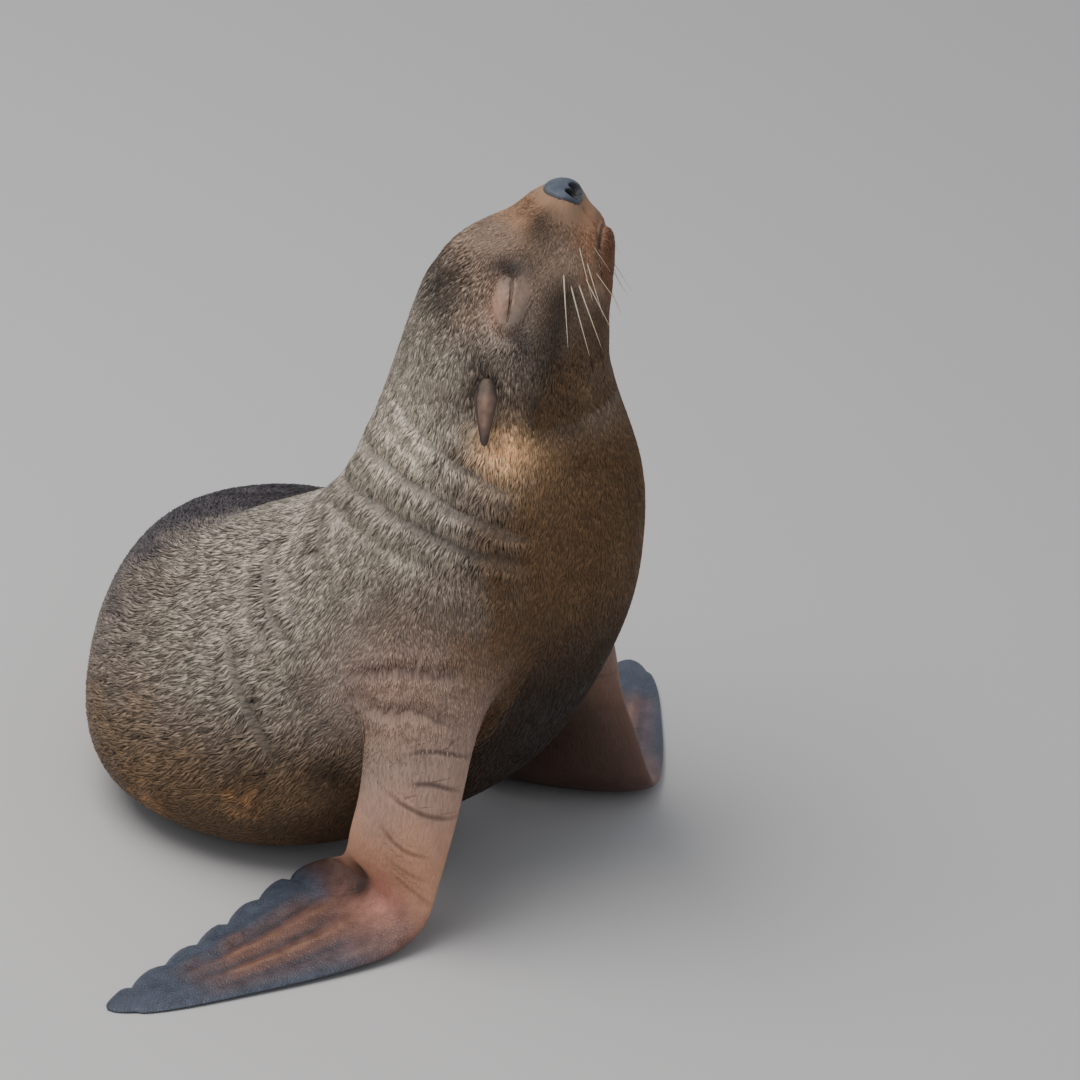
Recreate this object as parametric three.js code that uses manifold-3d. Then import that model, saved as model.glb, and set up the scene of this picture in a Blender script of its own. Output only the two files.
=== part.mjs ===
// A young California sea lion, sitting with its chest raised and its nose in the air.
// Millimetres, +Z up. The animal faces -Y, and its left side is +X. The origin is the
// middle of the patch of belly that rests on the floor.
//
// The body is a cage of rings from nose to tail, with a gap in the grid at each shoulder
// and hip where a limb's own rings carry on. One Catmull-Clark step rounds the cage, and
// thin cuts part the skin into head, jaw, neck, chest, trunk, hips, tail and flippers.
import * as THREE from "three";
import { mergeVertices } from "three/addons/utils/BufferGeometryUtils.js";
import Module from "manifold-3d";

const wasm = await Module();
wasm.setup();

// ---- driving dimensions ------------------------------------------------------------
// Every place below is measured from the point on the floor midway between the wrists.
const BELLY_REST = [30, 260, 0]; // where the origin goes
const GAP = 0.3; // width of the cuts between neighbours
const AROUND = 16; // points round the body, counted from the back over the left side
const SWELL = 1.024; // a rounded cage lies this much inside its own points
const LIMB_SWELL = 1.04; // and the coarser rings of a limb this much

// The head's own frame: along the muzzle, to its left, and up through the crown.
const EYE_LEVEL = [18, 0, 621];
const MUZZLE = [0.287, -0.351, 0.894];
const HEAD_SIDE = 10; // degrees that its left side is turned from +X

const vec = (p) => new THREE.Vector3(...p);
const sideways = (degrees) => {
  const turn = THREE.MathUtils.degToRad(degrees);
  return new THREE.Vector3(Math.cos(turn), Math.sin(turn), 0);
};
const muzzle = vec(MUZZLE).normalize();
const headLeft = sideways(HEAD_SIDE).projectOnPlane(muzzle).normalize();
const crown = muzzle.clone().cross(headLeft);
const inHead = (along, up, left = 0) =>
  vec(EYE_LEVEL)
    .addScaledVector(muzzle, along)
    .addScaledVector(crown, up)
    .addScaledVector(headLeft, left);

// ---- stations from nose to tail ----------------------------------------------------
// A station is a ring: its highest point on the back, its lowest on the belly, half its
// width, the heading of its left side, how much wider it is below the middle than above,
// and how round it is: 1 is an ellipse, and less is boxier.
const station = (back, belly, wide, side, sag = 0, round = 1) => ({
  back: vec(back),
  belly: vec(belly),
  wide,
  side,
  sag,
  round,
});
const headStation = (along, top, bottom, wide, sag = 0) => ({
  back: inHead(along, top),
  belly: inHead(along, bottom),
  wide,
  side: HEAD_SIDE,
  sag,
  round: 1,
});
const level = (x, y, top, wide, side, sag = 0, round = 1, bottom = -7) =>
  station([x, y, top], [x, y, bottom], wide, side, sag, round);

const BODY = [
  headStation(118, 20, -6, 20),
  headStation(104, 34, -27, 35, 0.12),
  headStation(86, 47, -52, 45, 0.15),
  headStation(54, 65, -71, 57, 0.1),
  headStation(22, 81, -86, 71, 0),
  headStation(-22, 93, -105, 83, 0),
  station([-13, 107, 583], [19, -104, 515], 91, 8),
  station([-7, 127, 520], [8, -122, 472], 101, 5),
  station([-1, 150, 460], [2, -131, 418], 115, 3),
  station([0, 172, 410], [0, -129, 353], 132, 1),
  station([0, 191, 389], [0, -119, 302], 141, 0, -0.04),
  station([1, 204, 371], [0, -98, 248], 147, 0, -0.08),
  station([2, 218, 359], [0, -71, 190], 150, -1, -0.12),
  station([3, 233, 349], [0, -36, 136], 152, -1, -0.15),
  station([4, 250, 340], [0, 10, 90], 153, -2, -0.15),
  station([6, 278, 327], [0, 92, 32], 157, -6, 0),
  station([9, 305, 311], [4, 186, -7], 159, -15, 0.2, 0.82),
  level(20, 320, 297, 155, -27, 0.22, 0.77),
  level(76, 352, 274, 144, -52, 0.22, 0.77),
  level(156, 370, 250, 127, -81, 0.14, 0.86),
  level(250, 359, 213, 103, -98, 0.1, 0.9),
  level(330, 345, 170, 83, -101, 0.1, 0.95),
  level(396, 333, 124, 62, -101),
  level(446, 324, 94, 40, -101, 0, 1, 8),
  level(482, 317, 70, 23, -101, 0, 1, 20),
  level(528, 308, 45, 9, -101, 0, 1, 28),
];

function bodyRing({ back, belly, wide, side, sag, round }) {
  const middle = back.clone().lerp(belly, 0.5);
  const half = back.clone().sub(belly).multiplyScalar(0.5 * SWELL);
  const left = sideways(side).projectOnPlane(half.clone().normalize()).normalize();
  return Array.from({ length: AROUND }, (_, j) => {
    const turn = (2 * Math.PI * j) / AROUND;
    const [up, out] = [Math.cos(turn), Math.sin(turn)].map(
      (n) => Math.sign(n) * Math.abs(n) ** round,
    );
    return middle
      .clone()
      .addScaledVector(half, up)
      .addScaledVector(left, wide * SWELL * out * (1 - sag * up));
  });
}

// ---- limbs -------------------------------------------------------------------------
// A limb's ring is flattened between a leading and a trailing edge. Its plane leans from
// upright on the forearm to flat on the floor in the hand. turn is the heading of the edge
// line, lean is 0 on an upright limb and 90 on a flat one, and side is -1 on the right.
function limbRing(points, { at, turn, lean, dip, lead, trail, top, under }, side) {
  const [t, l, d] = [turn, lean, dip].map(THREE.MathUtils.degToRad);
  const up = new THREE.Vector3(0, 0, 1);
  const back = new THREE.Vector3(-side * Math.sin(t), Math.cos(t), 0);
  const outward = new THREE.Vector3(side * Math.cos(t), Math.sin(t), 0);
  const edge = back.clone().multiplyScalar(Math.cos(d)).addScaledVector(up, -Math.sin(d));
  const rise = up.clone().multiplyScalar(Math.cos(d)).addScaledVector(back, Math.sin(d));
  const face = outward.multiplyScalar(Math.cos(l)).addScaledVector(rise, Math.sin(l));
  return Array.from({ length: points }, (_, k) => {
    const round = (2 * Math.PI * (k + 7)) / points;
    const [c, s] = [Math.cos(round), Math.sin(round)];
    return vec(at)
      .addScaledVector(edge, c * (c > 0 ? trail : lead) * LIMB_SWELL)
      .addScaledVector(face, s * (s > 0 ? top : under) * LIMB_SWELL);
  });
}

const FORELIMB_POINTS = 12;
const HINDLIMB_POINTS = 8;

const upright = (at, turn, lean, dip, lead, trail, top, under) => ({
  at,
  turn,
  lean,
  dip,
  lead,
  trail,
  top,
  under,
});

// The blade of a fore flipper: distance from the wrist, leading edge, trailing edge, and
// thickness above and below the plane of the hand.
const BLADE = [
  [22, 66, 118, 22, 14],
  [66, 67, 113, 15, 9],
  [124, 61, 88, 10, 6.5],
  [190, 50, 58, 8, 5.5],
  [262, 38, 33, 6.5, 4],
  [314, 18, 13, 4.5, 2.5],
];
function foreFlipper(wrist, turn, side, stretch) {
  const t = THREE.MathUtils.degToRad(turn);
  return BLADE.map(([far, lead, trail, top, under]) => ({
    at: [
      wrist[0] + side * Math.cos(t) * far * stretch,
      wrist[1] + Math.sin(t) * far * stretch,
      under - 1.5,
    ],
    turn,
    lean: 90,
    dip: 0,
    lead,
    trail,
    top,
    under,
  }));
}

const RIGHT_WRIST = [-137, 59];
const LEFT_WRIST = [134, -18];
const FORELIMBS = {
  right: [
    upright([-136, 38, 206], 0, 32, 34, 80, 72, 36, 34),
    upright([-152, 40, 152], 2, 14, 12, 64, 58, 36, 34),
    upright([-157, 49, 106], 5, 4, 0, 61, 55, 32, 22),
    upright([-153, 56, 68], 12, 12, 0, 60, 58, 28, 16),
    upright([-146, 62, 38], 24, 44, 0, 61, 78, 24, 22),
    ...foreFlipper(RIGHT_WRIST, 34.8, -1, 1),
  ],
  left: [
    upright([137, 34, 206], 0, 32, 34, 80, 72, 36, 34),
    upright([151, 18, 152], 2, 14, 12, 64, 58, 36, 34),
    upright([154, 2, 106], 4, 4, 0, 61, 55, 32, 26),
    upright([150, -9, 68], 8, 12, 0, 60, 58, 28, 22),
    upright([142, -15, 38], 12, 44, 0, 61, 78, 24, 22),
    ...foreFlipper(LEFT_WRIST, 16, 1, 0.88),
  ],
};

// A hind flipper: distance from the ankle, half its width, height of its middle, thickness.
const HIND_BLADE = [
  [0, 34, 38, 24],
  [52, 37, 19, 14],
  [120, 50, 9, 8.5],
  [188, 48, 5, 4.5],
];
function hindFlipper(ankle, heading) {
  const h = THREE.MathUtils.degToRad(heading);
  return HIND_BLADE.map(([far, half, height, thick]) => ({
    at: [ankle[0] + Math.cos(h) * far, ankle[1] + Math.sin(h) * far, height],
    heading,
    half,
    thick,
  }));
}
const HINDLIMBS = {
  right: hindFlipper([420, 404], 132),
  left: hindFlipper([386, 258], 206),
};
function hindRing({ at, heading, half, thick }, side) {
  const h = THREE.MathUtils.degToRad(heading);
  const edge = new THREE.Vector3(-side * Math.sin(h), side * Math.cos(h), 0);
  return Array.from({ length: HINDLIMB_POINTS }, (_, k) => {
    const round = (2 * Math.PI * (k + 5)) / HINDLIMB_POINTS;
    return vec(at)
      .addScaledVector(edge, Math.cos(round) * half * SWELL)
      .add(new THREE.Vector3(0, 0, Math.sin(round) * thick * SWELL));
  });
}

// ---- the cage ----------------------------------------------------------------------
const SHOULDER = { rows: [10, 14], columns: [10, 12] };
const HIP = { rows: [21, 23], columns: [11, 13] };

function makeCage() {
  const points = BODY.flatMap(bodyRing);
  const faces = [];
  const at = (i, j) => i * AROUND + (((j % AROUND) + AROUND) % AROUND);
  const holes = [];
  for (const { rows, columns } of [SHOULDER, HIP]) {
    const [lower, upper] = columns;
    holes.push({ rows, columns });
    holes.push({ rows, columns: [AROUND - upper, AROUND - lower] });
  }
  const open = (i, j) =>
    holes.some(
      ({ rows: [r0, r1], columns: [c0, c1] }) => i >= r0 && i < r1 && j >= c0 && j < c1,
    );
  for (let i = 0; i + 1 < BODY.length; i++)
    for (let j = 0; j < AROUND; j++)
      if (!open(i, j)) faces.push([at(i, j), at(i, j + 1), at(i + 1, j + 1), at(i + 1, j)]);
  const columns = [...Array(AROUND).keys()];
  faces.push(columns.map((j) => at(0, j)).reverse());
  faces.push(columns.map((j) => at(BODY.length - 1, j)));

  // The edge of a gap, from its front lower corner back along the belly side and round.
  function rim({ rows: [r0, r1], columns: [lower, upper] }, side) {
    const column = (c) => (side < 0 ? c : AROUND - c);
    const edge = [];
    for (let i = r0; i < r1; i++) edge.push(at(i, column(lower)));
    for (let c = lower; c < upper; c++) edge.push(at(r1, column(c)));
    for (let i = r1; i > r0; i--) edge.push(at(i, column(upper)));
    for (let c = upper; c > lower; c--) edge.push(at(r0, column(c)));
    return edge;
  }
  function grow(gap, side, rings) {
    let last = rim(gap, side);
    for (const ring of rings) {
      const next = ring.map((p) => points.push(p) - 1);
      last.forEach((a, k) => {
        const b = last[(k + 1) % last.length];
        const [c, d] = [next[(k + 1) % next.length], next[k]];
        faces.push(side < 0 ? [a, d, c, b] : [a, b, c, d]);
      });
      last = next;
    }
    faces.push(side < 0 ? last.reverse() : last);
  }
  for (const [name, side] of [["right", -1], ["left", 1]]) {
    grow(SHOULDER, side, FORELIMBS[name].map((r) => limbRing(FORELIMB_POINTS, r, side)));
    grow(HIP, side, HINDLIMBS[name].map((r) => hindRing(r, side)));
  }
  return { points, faces };
}

// One Catmull-Clark step: a point in each face, one on each edge, and each old point
// drawn towards both.
function rounded({ points, faces }) {
  const mean = (list) =>
    list.reduce((sum, p) => sum.add(p), new THREE.Vector3()).divideScalar(list.length);
  const facePoints = faces.map((f) => mean(f.map((i) => points[i])));
  const edges = new Map();
  const touching = points.map(() => ({ faces: [], mids: [] }));
  faces.forEach((f, n) =>
    f.forEach((a, k) => {
      const b = f[(k + 1) % f.length];
      const key = Math.min(a, b) + "," + Math.max(a, b);
      if (!edges.has(key)) edges.set(key, { ends: [a, b], faces: [] });
      edges.get(key).faces.push(n);
      touching[a].faces.push(facePoints[n]);
    }),
  );
  const made = points.map((p) => p.clone());
  for (const edge of edges.values()) {
    const [a, b] = edge.ends.map((i) => points[i]);
    const mid = mean([a, b]);
    edge.ends.forEach((i) => touching[i].mids.push(mid));
    edge.index = made.push(mean([a, b, ...edge.faces.map((n) => facePoints[n])])) - 1;
  }
  touching.forEach((near, i) => {
    const n = near.faces.length;
    made[i] = mean(near.faces)
      .addScaledVector(mean(near.mids), 2)
      .addScaledVector(points[i], n - 3)
      .divideScalar(n);
  });
  const quads = [];
  faces.forEach((f, n) => {
    const centre = made.push(facePoints[n]) - 1;
    const edgeAt = (a, b) => edges.get(Math.min(a, b) + "," + Math.max(a, b)).index;
    f.forEach((a, k) => {
      const [before, after] = [f[(k + f.length - 1) % f.length], f[(k + 1) % f.length]];
      quads.push([a, edgeAt(a, after), centre, edgeAt(before, a)]);
    });
  });
  return { points: made, faces: quads };
}

// ---- solids ------------------------------------------------------------------------
function geometryOf({ points, faces }) {
  const index = faces.flatMap(([a, b, c, d]) =>
    points[a].distanceTo(points[c]) < points[b].distanceTo(points[d])
      ? [a, b, c, a, c, d]
      : [a, b, d, b, c, d],
  );
  return new THREE.BufferGeometry().setFromPoints(points).setIndex(index);
}

function solidFrom(geometry, matrix = new THREE.Matrix4()) {
  const bare = geometry.clone().applyMatrix4(matrix);
  for (const name of Object.keys(bare.attributes))
    if (name !== "position") bare.deleteAttribute(name);
  const merged = mergeVertices(bare, 1e-3);
  return new wasm.Manifold(
    new wasm.Mesh({
      numProp: 3,
      vertProperties: merged.attributes.position.array,
      triVerts: new Uint32Array(merged.index.array),
    }),
  );
}

// A placement: where the middle goes, and where the shape's own X, Y and Z point. The
// three lengths stretch the shape along them.
function placed(at, [x, y, z], [lx, ly, lz] = [1, 1, 1]) {
  const unit = (v) => v.clone().normalize();
  return new THREE.Matrix4()
    .makeBasis(
      unit(x).multiplyScalar(lx),
      unit(y).multiplyScalar(ly),
      unit(z).multiplyScalar(lz),
    )
    .setPosition(at);
}

const EGG = new THREE.SphereGeometry(1, 10, 6);
const LOBE = new THREE.SphereGeometry(1, 6, 4);
const DISC = new THREE.CylinderGeometry(1, 1, 1, 20);
const CUBE = new THREE.BoxGeometry(1, 1, 1);

// The floor trims the skin, which leaves small flats under the belly and the palms.
const FLOOR_SPAN = 3000;
const floor = solidFrom(
  CUBE,
  new THREE.Matrix4()
    .makeScale(FLOOR_SPAN, FLOOR_SPAN, FLOOR_SPAN)
    .setPosition(0, 0, -FLOOR_SPAN / 2),
);
let skin = solidFrom(geometryOf(rounded(makeCage()))).subtract(floor);

// ---- cuts between the named parts --------------------------------------------------
// A cut is a disc as thick as the gap, a little wider than the ring that it follows.
const CUT_MARGIN = 1.28;
function cutAcrossBody(index) {
  const { back, belly, wide, side } = BODY[index];
  const half = back.clone().sub(belly).multiplyScalar(0.5);
  const middle = back.clone().lerp(belly, 0.5);
  const left = sideways(side).projectOnPlane(half.clone().normalize());
  const through = left.clone().cross(half);
  const reach = [wide, GAP / CUT_MARGIN, half.length()].map((n) => n * CUT_MARGIN);
  return solidFrom(DISC, placed(middle, [left, through, left.clone().cross(through)], reach));
}
function cutAcrossLimb(ring) {
  const corner = (quarters) => ring[(quarters * ring.length) / 4 - 1].clone();
  const [under, rear, top, front] = [1, 2, 3, 4].map(corner);
  const middle = front.clone().lerp(rear, 0.5);
  const along = rear.sub(front).multiplyScalar(0.5);
  const across = top.sub(under).multiplyScalar(0.5);
  const through = along.clone().cross(across);
  const reach = [along.length() * 1.35, GAP, across.length() * 1.9];
  return solidFrom(DISC, placed(middle, [along, through, along.clone().cross(through)], reach));
}

const NECK_TOP = 6;
const NECK_FOOT = 9;
const RIBS_END = 15;
const LOIN = 19;
const TAIL_ROOT = 24;
const ELBOW = 1;
const WRIST = 3;
const ANKLE = 1;
for (const index of [NECK_TOP, NECK_FOOT, RIBS_END, LOIN, TAIL_ROOT])
  skin = skin.subtract(cutAcrossBody(index));
for (const [name, side] of [["right", -1], ["left", 1]])
  skin = skin
    .subtract(cutAcrossLimb(limbRing(FORELIMB_POINTS, FORELIMBS[name][ELBOW], side)))
    .subtract(cutAcrossLimb(limbRing(FORELIMB_POINTS, FORELIMBS[name][WRIST], side)))
    .subtract(cutAcrossLimb(hindRing(HINDLIMBS[name][ANKLE], side)));

// Each part of the skin is named by the point that the middle of its box is nearest to.
// A crumb, which a cut leaves where two folds of skin meet, is dropped.
const LEAST_PART = 1000; // mm3
const NAMED_BY_PLACE = {
  head: [4, 2, 624],
  neck: [0, 21, 468],
  chest: [0, 80, 214],
  trunk: [15, 307, 162],
  hips: [330, 349, 121],
  tail: [503, 317, 45],
  forearm_right: [-154, 46, 116],
  forearm_left: [152, 3, 116],
  fore_flipper_right: [-247, 121, 37],
  fore_flipper_left: [261, 14, 37],
  hind_flipper_right: [344, 488, 20],
  hind_flipper_left: [286, 205, 20],
};
const parts = {};
for (const piece of skin.decompose().filter((p) => p.volume() > LEAST_PART)) {
  const { min, max } = piece.boundingBox();
  const middle = vec(min).lerp(vec(max), 0.5);
  const distance = (name) => middle.distanceTo(vec(NAMED_BY_PLACE[name]));
  const [name] = Object.keys(NAMED_BY_PLACE).sort((a, b) => distance(a) - distance(b));
  if (parts[name]) throw new Error("two parts of the skin are nearest to " + name);
  parts[name] = piece;
}

// ---- mouth and nose ----------------------------------------------------------------
// Each is a box laid on a line in the head's middle plane, from one place to another, and
// what the head has inside it is the part. The box of the cut is wider by the gap.
const HEAD_WIDTH = 200;
function headBox([along0, up0], [along1, up1], depth, spare) {
  const line = inHead(along1, up1).sub(inHead(along0, up0));
  const out = headLeft.clone().cross(line).normalize();
  const middle = inHead(along0, up0)
    .addScaledVector(line, 0.5)
    .addScaledVector(out, depth / 2);
  const reach = [HEAD_WIDTH, line.length() + 2 * spare, depth + 2 * spare];
  return solidFrom(CUBE, placed(middle, [headLeft, line, out], reach));
}
const MOUTH_CORNER = [44, -66];
const MOUTH_FRONT = [150, -5];
const JAW_DEPTH = 90;
const PAD_FOOT = [117, -28];
const PAD_TOP = [103, 49];
const PAD_DEPTH = 40;
parts.lower_jaw = parts.head.intersect(headBox(MOUTH_CORNER, MOUTH_FRONT, JAW_DEPTH, 0));
parts.head = parts.head.subtract(headBox(MOUTH_CORNER, MOUTH_FRONT, JAW_DEPTH, GAP));
parts.nose = parts.head.intersect(headBox(PAD_FOOT, PAD_TOP, PAD_DEPTH, 0));
parts.head = parts.head.subtract(headBox(PAD_FOOT, PAD_TOP, PAD_DEPTH, GAP));

// ---- closed eyes and ears ----------------------------------------------------------
// An eyelid is a flattened egg let into the head, with a groove where the lids meet. An
// ear is a narrow cone lying back along the neck.
const LID = { along: 15, up: 6, left: 67, half: [23, 13, 9], slope: 23.6 };
const LID_SLIT = [36, 1.2, 5];
const EAR_BASE = [-58, -9, 86];
const EAR_TIP = [-111, -36, 97];
const EAR_RADII = [2.5, 7];
for (const [name, side] of [["right", -1], ["left", 1]]) {
  const slope = THREE.MathUtils.degToRad(LID.slope);
  const long = muzzle.clone().multiplyScalar(Math.cos(slope));
  long.addScaledVector(crown, Math.sin(slope));
  const out = headLeft.clone().multiplyScalar(side);
  const axes = [long, out.clone().cross(long), out];
  const place = inHead(LID.along, LID.up, side * LID.left);
  const lid = (spare) => solidFrom(EGG, placed(place, axes, LID.half.map((n) => n + spare)));
  const slit = solidFrom(CUBE, placed(inHead(LID.along, LID.up, side * (LID.left + 9)), axes, LID_SLIT));
  parts["eyelid_" + name] = lid(0).subtract(slit);
  parts.head = parts.head.subtract(lid(GAP));

  const [base, tip] = [EAR_BASE, EAR_TIP].map(([a, u, l]) => inHead(a, u, side * l));
  const along = tip.clone().sub(base);
  const ear = (spare) => {
    const [thin, thick] = EAR_RADII.map((n) => n + spare);
    const cone = new THREE.CylinderGeometry(thin, thick, along.length() + 2 * spare, 8);
    const wide = along.clone().cross(out);
    return solidFrom(cone, placed(base.clone().lerp(tip, 0.5), [wide, along, wide.clone().cross(along)]));
  };
  parts["ear_" + name] = ear(0);
  for (const near of ["head", "neck"]) parts[near] = parts[near].subtract(ear(GAP));
}

// ---- toes of the hind flippers -----------------------------------------------------
const TOE = { far: 172, apart: 18, height: 5, half: [38, 12, 4.4] };
for (const [name, [x, y], heading] of [
  ["right", [420, 404], 132],
  ["left", [386, 258], 206],
])
  for (const toe of [-2, -1, 0, 1, 2]) {
    const h = THREE.MathUtils.degToRad(heading + 3 * toe);
    const out = new THREE.Vector3(Math.cos(h), Math.sin(h), 0);
    const across = new THREE.Vector3(-Math.sin(h), Math.cos(h), 0);
    const middle = new THREE.Vector3(x, y, TOE.height)
      .addScaledVector(out, TOE.far - 3 * toe * toe)
      .addScaledVector(across, TOE.apart * toe);
    const lobe = solidFrom(LOBE, placed(middle, [out, across, new THREE.Vector3(0, 0, 1)], TOE.half));
    const flipper = "hind_flipper_" + name;
    parts[flipper] = parts[flipper].add(lobe);
  }

// ---- colours and the finished group ------------------------------------------------
const COAT = [0x6f6459, 0.75];
const CHEST_COAT = [0x5e4a3c, 0.75];
const SKIN = [0x6b5f5c, 0.55];
const DARK = [0x3a3a3f, 0.5];
const FINISH = {
  head: COAT,
  neck: COAT,
  chest: CHEST_COAT,
  trunk: COAT,
  hips: COAT,
  tail: COAT,
  lower_jaw: CHEST_COAT,
  nose: DARK,
  eyelid_right: DARK,
  eyelid_left: DARK,
  ear_right: SKIN,
  ear_left: SKIN,
  forearm_right: CHEST_COAT,
  forearm_left: CHEST_COAT,
  fore_flipper_right: SKIN,
  fore_flipper_left: SKIN,
  hind_flipper_right: SKIN,
  hind_flipper_left: SKIN,
};
const group = new THREE.Group();
for (const [name, [color, roughness]] of Object.entries(FINISH)) {
  const { vertProperties, triVerts } = parts[name].getMesh();
  const geometry = new THREE.BufferGeometry()
    .setAttribute("position", new THREE.BufferAttribute(vertProperties, 3))
    .setIndex(new THREE.BufferAttribute(triVerts, 1))
    .translate(-BELLY_REST[0], -BELLY_REST[1], 0);
  const material = new THREE.MeshStandardMaterial({ color, roughness, metalness: 0 });
  const mesh = new THREE.Mesh(geometry, material);
  mesh.name = name;
  group.add(mesh);
}
export default group;
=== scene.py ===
"""A young California sea lion, sitting with its chest raised and its nose in the air.

One skin from nose to toes lies under a short damp coat. Metres, +Z up. The animal
faces -Y, its left side is +X, and the origin is where its belly rests on the floor.
"""
import math

import bpy
import numpy as np
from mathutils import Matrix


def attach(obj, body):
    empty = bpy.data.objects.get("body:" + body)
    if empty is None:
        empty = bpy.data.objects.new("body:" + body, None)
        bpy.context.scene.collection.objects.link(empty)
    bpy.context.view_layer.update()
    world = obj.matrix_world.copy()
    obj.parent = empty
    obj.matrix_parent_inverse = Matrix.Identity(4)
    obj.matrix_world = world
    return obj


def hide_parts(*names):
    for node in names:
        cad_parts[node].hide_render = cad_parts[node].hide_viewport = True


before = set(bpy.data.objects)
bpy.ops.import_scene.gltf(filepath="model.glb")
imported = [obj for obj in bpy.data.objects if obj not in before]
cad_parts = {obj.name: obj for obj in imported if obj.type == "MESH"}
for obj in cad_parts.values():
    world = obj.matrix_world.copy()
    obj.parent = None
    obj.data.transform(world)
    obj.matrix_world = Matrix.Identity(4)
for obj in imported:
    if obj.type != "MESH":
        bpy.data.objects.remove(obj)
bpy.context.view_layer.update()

# ---- the cage that the skin is rounded from -----------------------------------------
# The body is one soft barrel of flesh and blubber, and its four limbs grow out of it with no
# edge. It is a row of rings from the nose to the tip of the tail, with a sleeve for each limb.

# Lengths are in millimetres from the floor midway between the wrists, and become metres last.
BELLY_REST = np.array([30.0, 260.0, 0.0])
AROUND = 16
SWELL = 1.024
LIMB_SWELL = 1.04
UP = np.array([0.0, 0.0, 1.0])


def in_frame(points):
    """Millimetres from between the wrists as metres from where the belly rests."""
    return (points - BELLY_REST) / 1000


def heading(degrees):
    """Unit vectors on the floor, turned from +X towards +Y."""
    turn = np.radians(np.asarray(degrees, float))
    return np.stack([np.cos(turn), np.sin(turn), 0 * turn], -1)


def unit(vectors):
    """Each vector over its own length."""
    return vectors / np.linalg.norm(vectors, axis=-1, keepdims=True)


def across(vectors, axes):
    """What is left of each vector once its part along a unit axis is taken away."""
    return vectors - np.sum(vectors * axes, -1, keepdims=True) * axes


EYE_LEVEL = np.array([18.0, 0.0, 621.0])
MUZZLE = unit(np.array([0.287, -0.351, 0.894]))
HEAD_LEFT = unit(across(heading(10.0), MUZZLE))
CROWN = np.cross(MUZZLE, HEAD_LEFT)


def in_head(along, up, left=0.0):
    """A place in the head: so far along the muzzle, up through the crown, and left."""
    along, up, left = (np.asarray(n, float)[..., None] for n in (along, up, left))
    return EYE_LEVEL + along * MUZZLE + up * CROWN + left * HEAD_LEFT


# along, top, bottom, half width, sag
HEAD_ROWS = np.array([
    [118, 20, -6, 20, 0], [104, 34, -27, 35, 0.12], [95, 41, -40, 41, 0.14],
    [86, 47, -52, 45, 0.15], [70, 57, -63, 51.5, 0.13], [54, 65, -71, 57, 0.1],
    [38, 73.5, -79, 64.5, 0.05], [22, 81, -86, 71, 0], [0, 87.5, -96.5, 78, 0],
    [-22, 93, -105, 83, 0],
])
# back x y z, belly x y z, half width, heading of the left side, how much wider below than
# above, roundness
TRUNK_ROWS = np.array([
    [-13, 107, 583, 19, -104, 515, 91, 8, 0, 1],
    [-7, 127, 520, 8, -122, 472, 101, 5, 0, 1],
    [-1, 150, 460, 2, -131, 418, 115, 3, 0, 1],
    [0, 172, 410, 0, -129, 353, 132, 1, 0, 1],
    [0, 191, 389, 0, -119, 302, 141, 0, -0.04, 1],
    [1, 204, 371, 0, -98, 248, 147, 0, -0.08, 1],
    [2, 218, 359, 0, -71, 190, 150, -1, -0.12, 1],
    [3, 233, 349, 0, -36, 136, 152, -1, -0.15, 1],
    [4, 250, 340, 0, 10, 90, 153, -2, -0.15, 1],
    [6, 278, 327, 0, 92, 32, 157, -6, 0, 1],
    [9, 305, 311, 4, 186, -7, 159, -15, 0.2, 0.82],
    [20, 320, 297, 20, 320, -7, 155, -27, 0.22, 0.77],
    [76, 352, 274, 76, 352, -7, 144, -52, 0.22, 0.77],
    [156, 370, 250, 156, 370, -7, 127, -81, 0.14, 0.86],
    [250, 359, 213, 250, 359, -7, 103, -98, 0.1, 0.9],
    [330, 345, 170, 330, 345, -7, 83, -101, 0.1, 0.95],
    [396, 333, 124, 396, 333, -7, 62, -101, 0, 1],
    [446, 324, 94, 446, 324, 8, 40, -101, 0, 1],
    [482, 317, 70, 482, 317, 20, 23, -101, 0, 1],
    [528, 308, 45, 528, 308, 28, 9, -101, 0, 1],
])
HEAD_COUNT = len(HEAD_ROWS)
ROWS = HEAD_COUNT + len(TRUNK_ROWS)


def body_rings():
    """Half the line from belly to back times the cosine of the angle round the ring, plus the
    ring's left side times half its width and the sine, both raised to the roundness."""
    along, top, bottom, wide, sag = HEAD_ROWS.T
    head = np.column_stack([
        in_head(along, top), in_head(along, bottom), wide, np.full(HEAD_COUNT, 10.0), sag,
        np.ones(HEAD_COUNT),
    ])
    rows = np.vstack([head, TRUNK_ROWS])
    back, belly = rows[:, :3], rows[:, 3:6]
    wide, side, sag, roundness = rows[:, 6:].T[:, :, None]
    half = (back - belly) / 2 * SWELL
    left = unit(across(heading(side[:, 0]), unit(half)))
    turn = 2 * np.pi * np.arange(AROUND) / AROUND
    up = np.sign(np.cos(turn)) * np.abs(np.cos(turn)) ** roundness
    out = np.sign(np.sin(turn)) * np.abs(np.sin(turn)) ** roundness
    reach = wide * SWELL * out * (1 - sag * up)
    middle = ((back + belly) / 2)[:, None]
    return middle + half[:, None] * up[..., None] + left[:, None] * reach[..., None]


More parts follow.
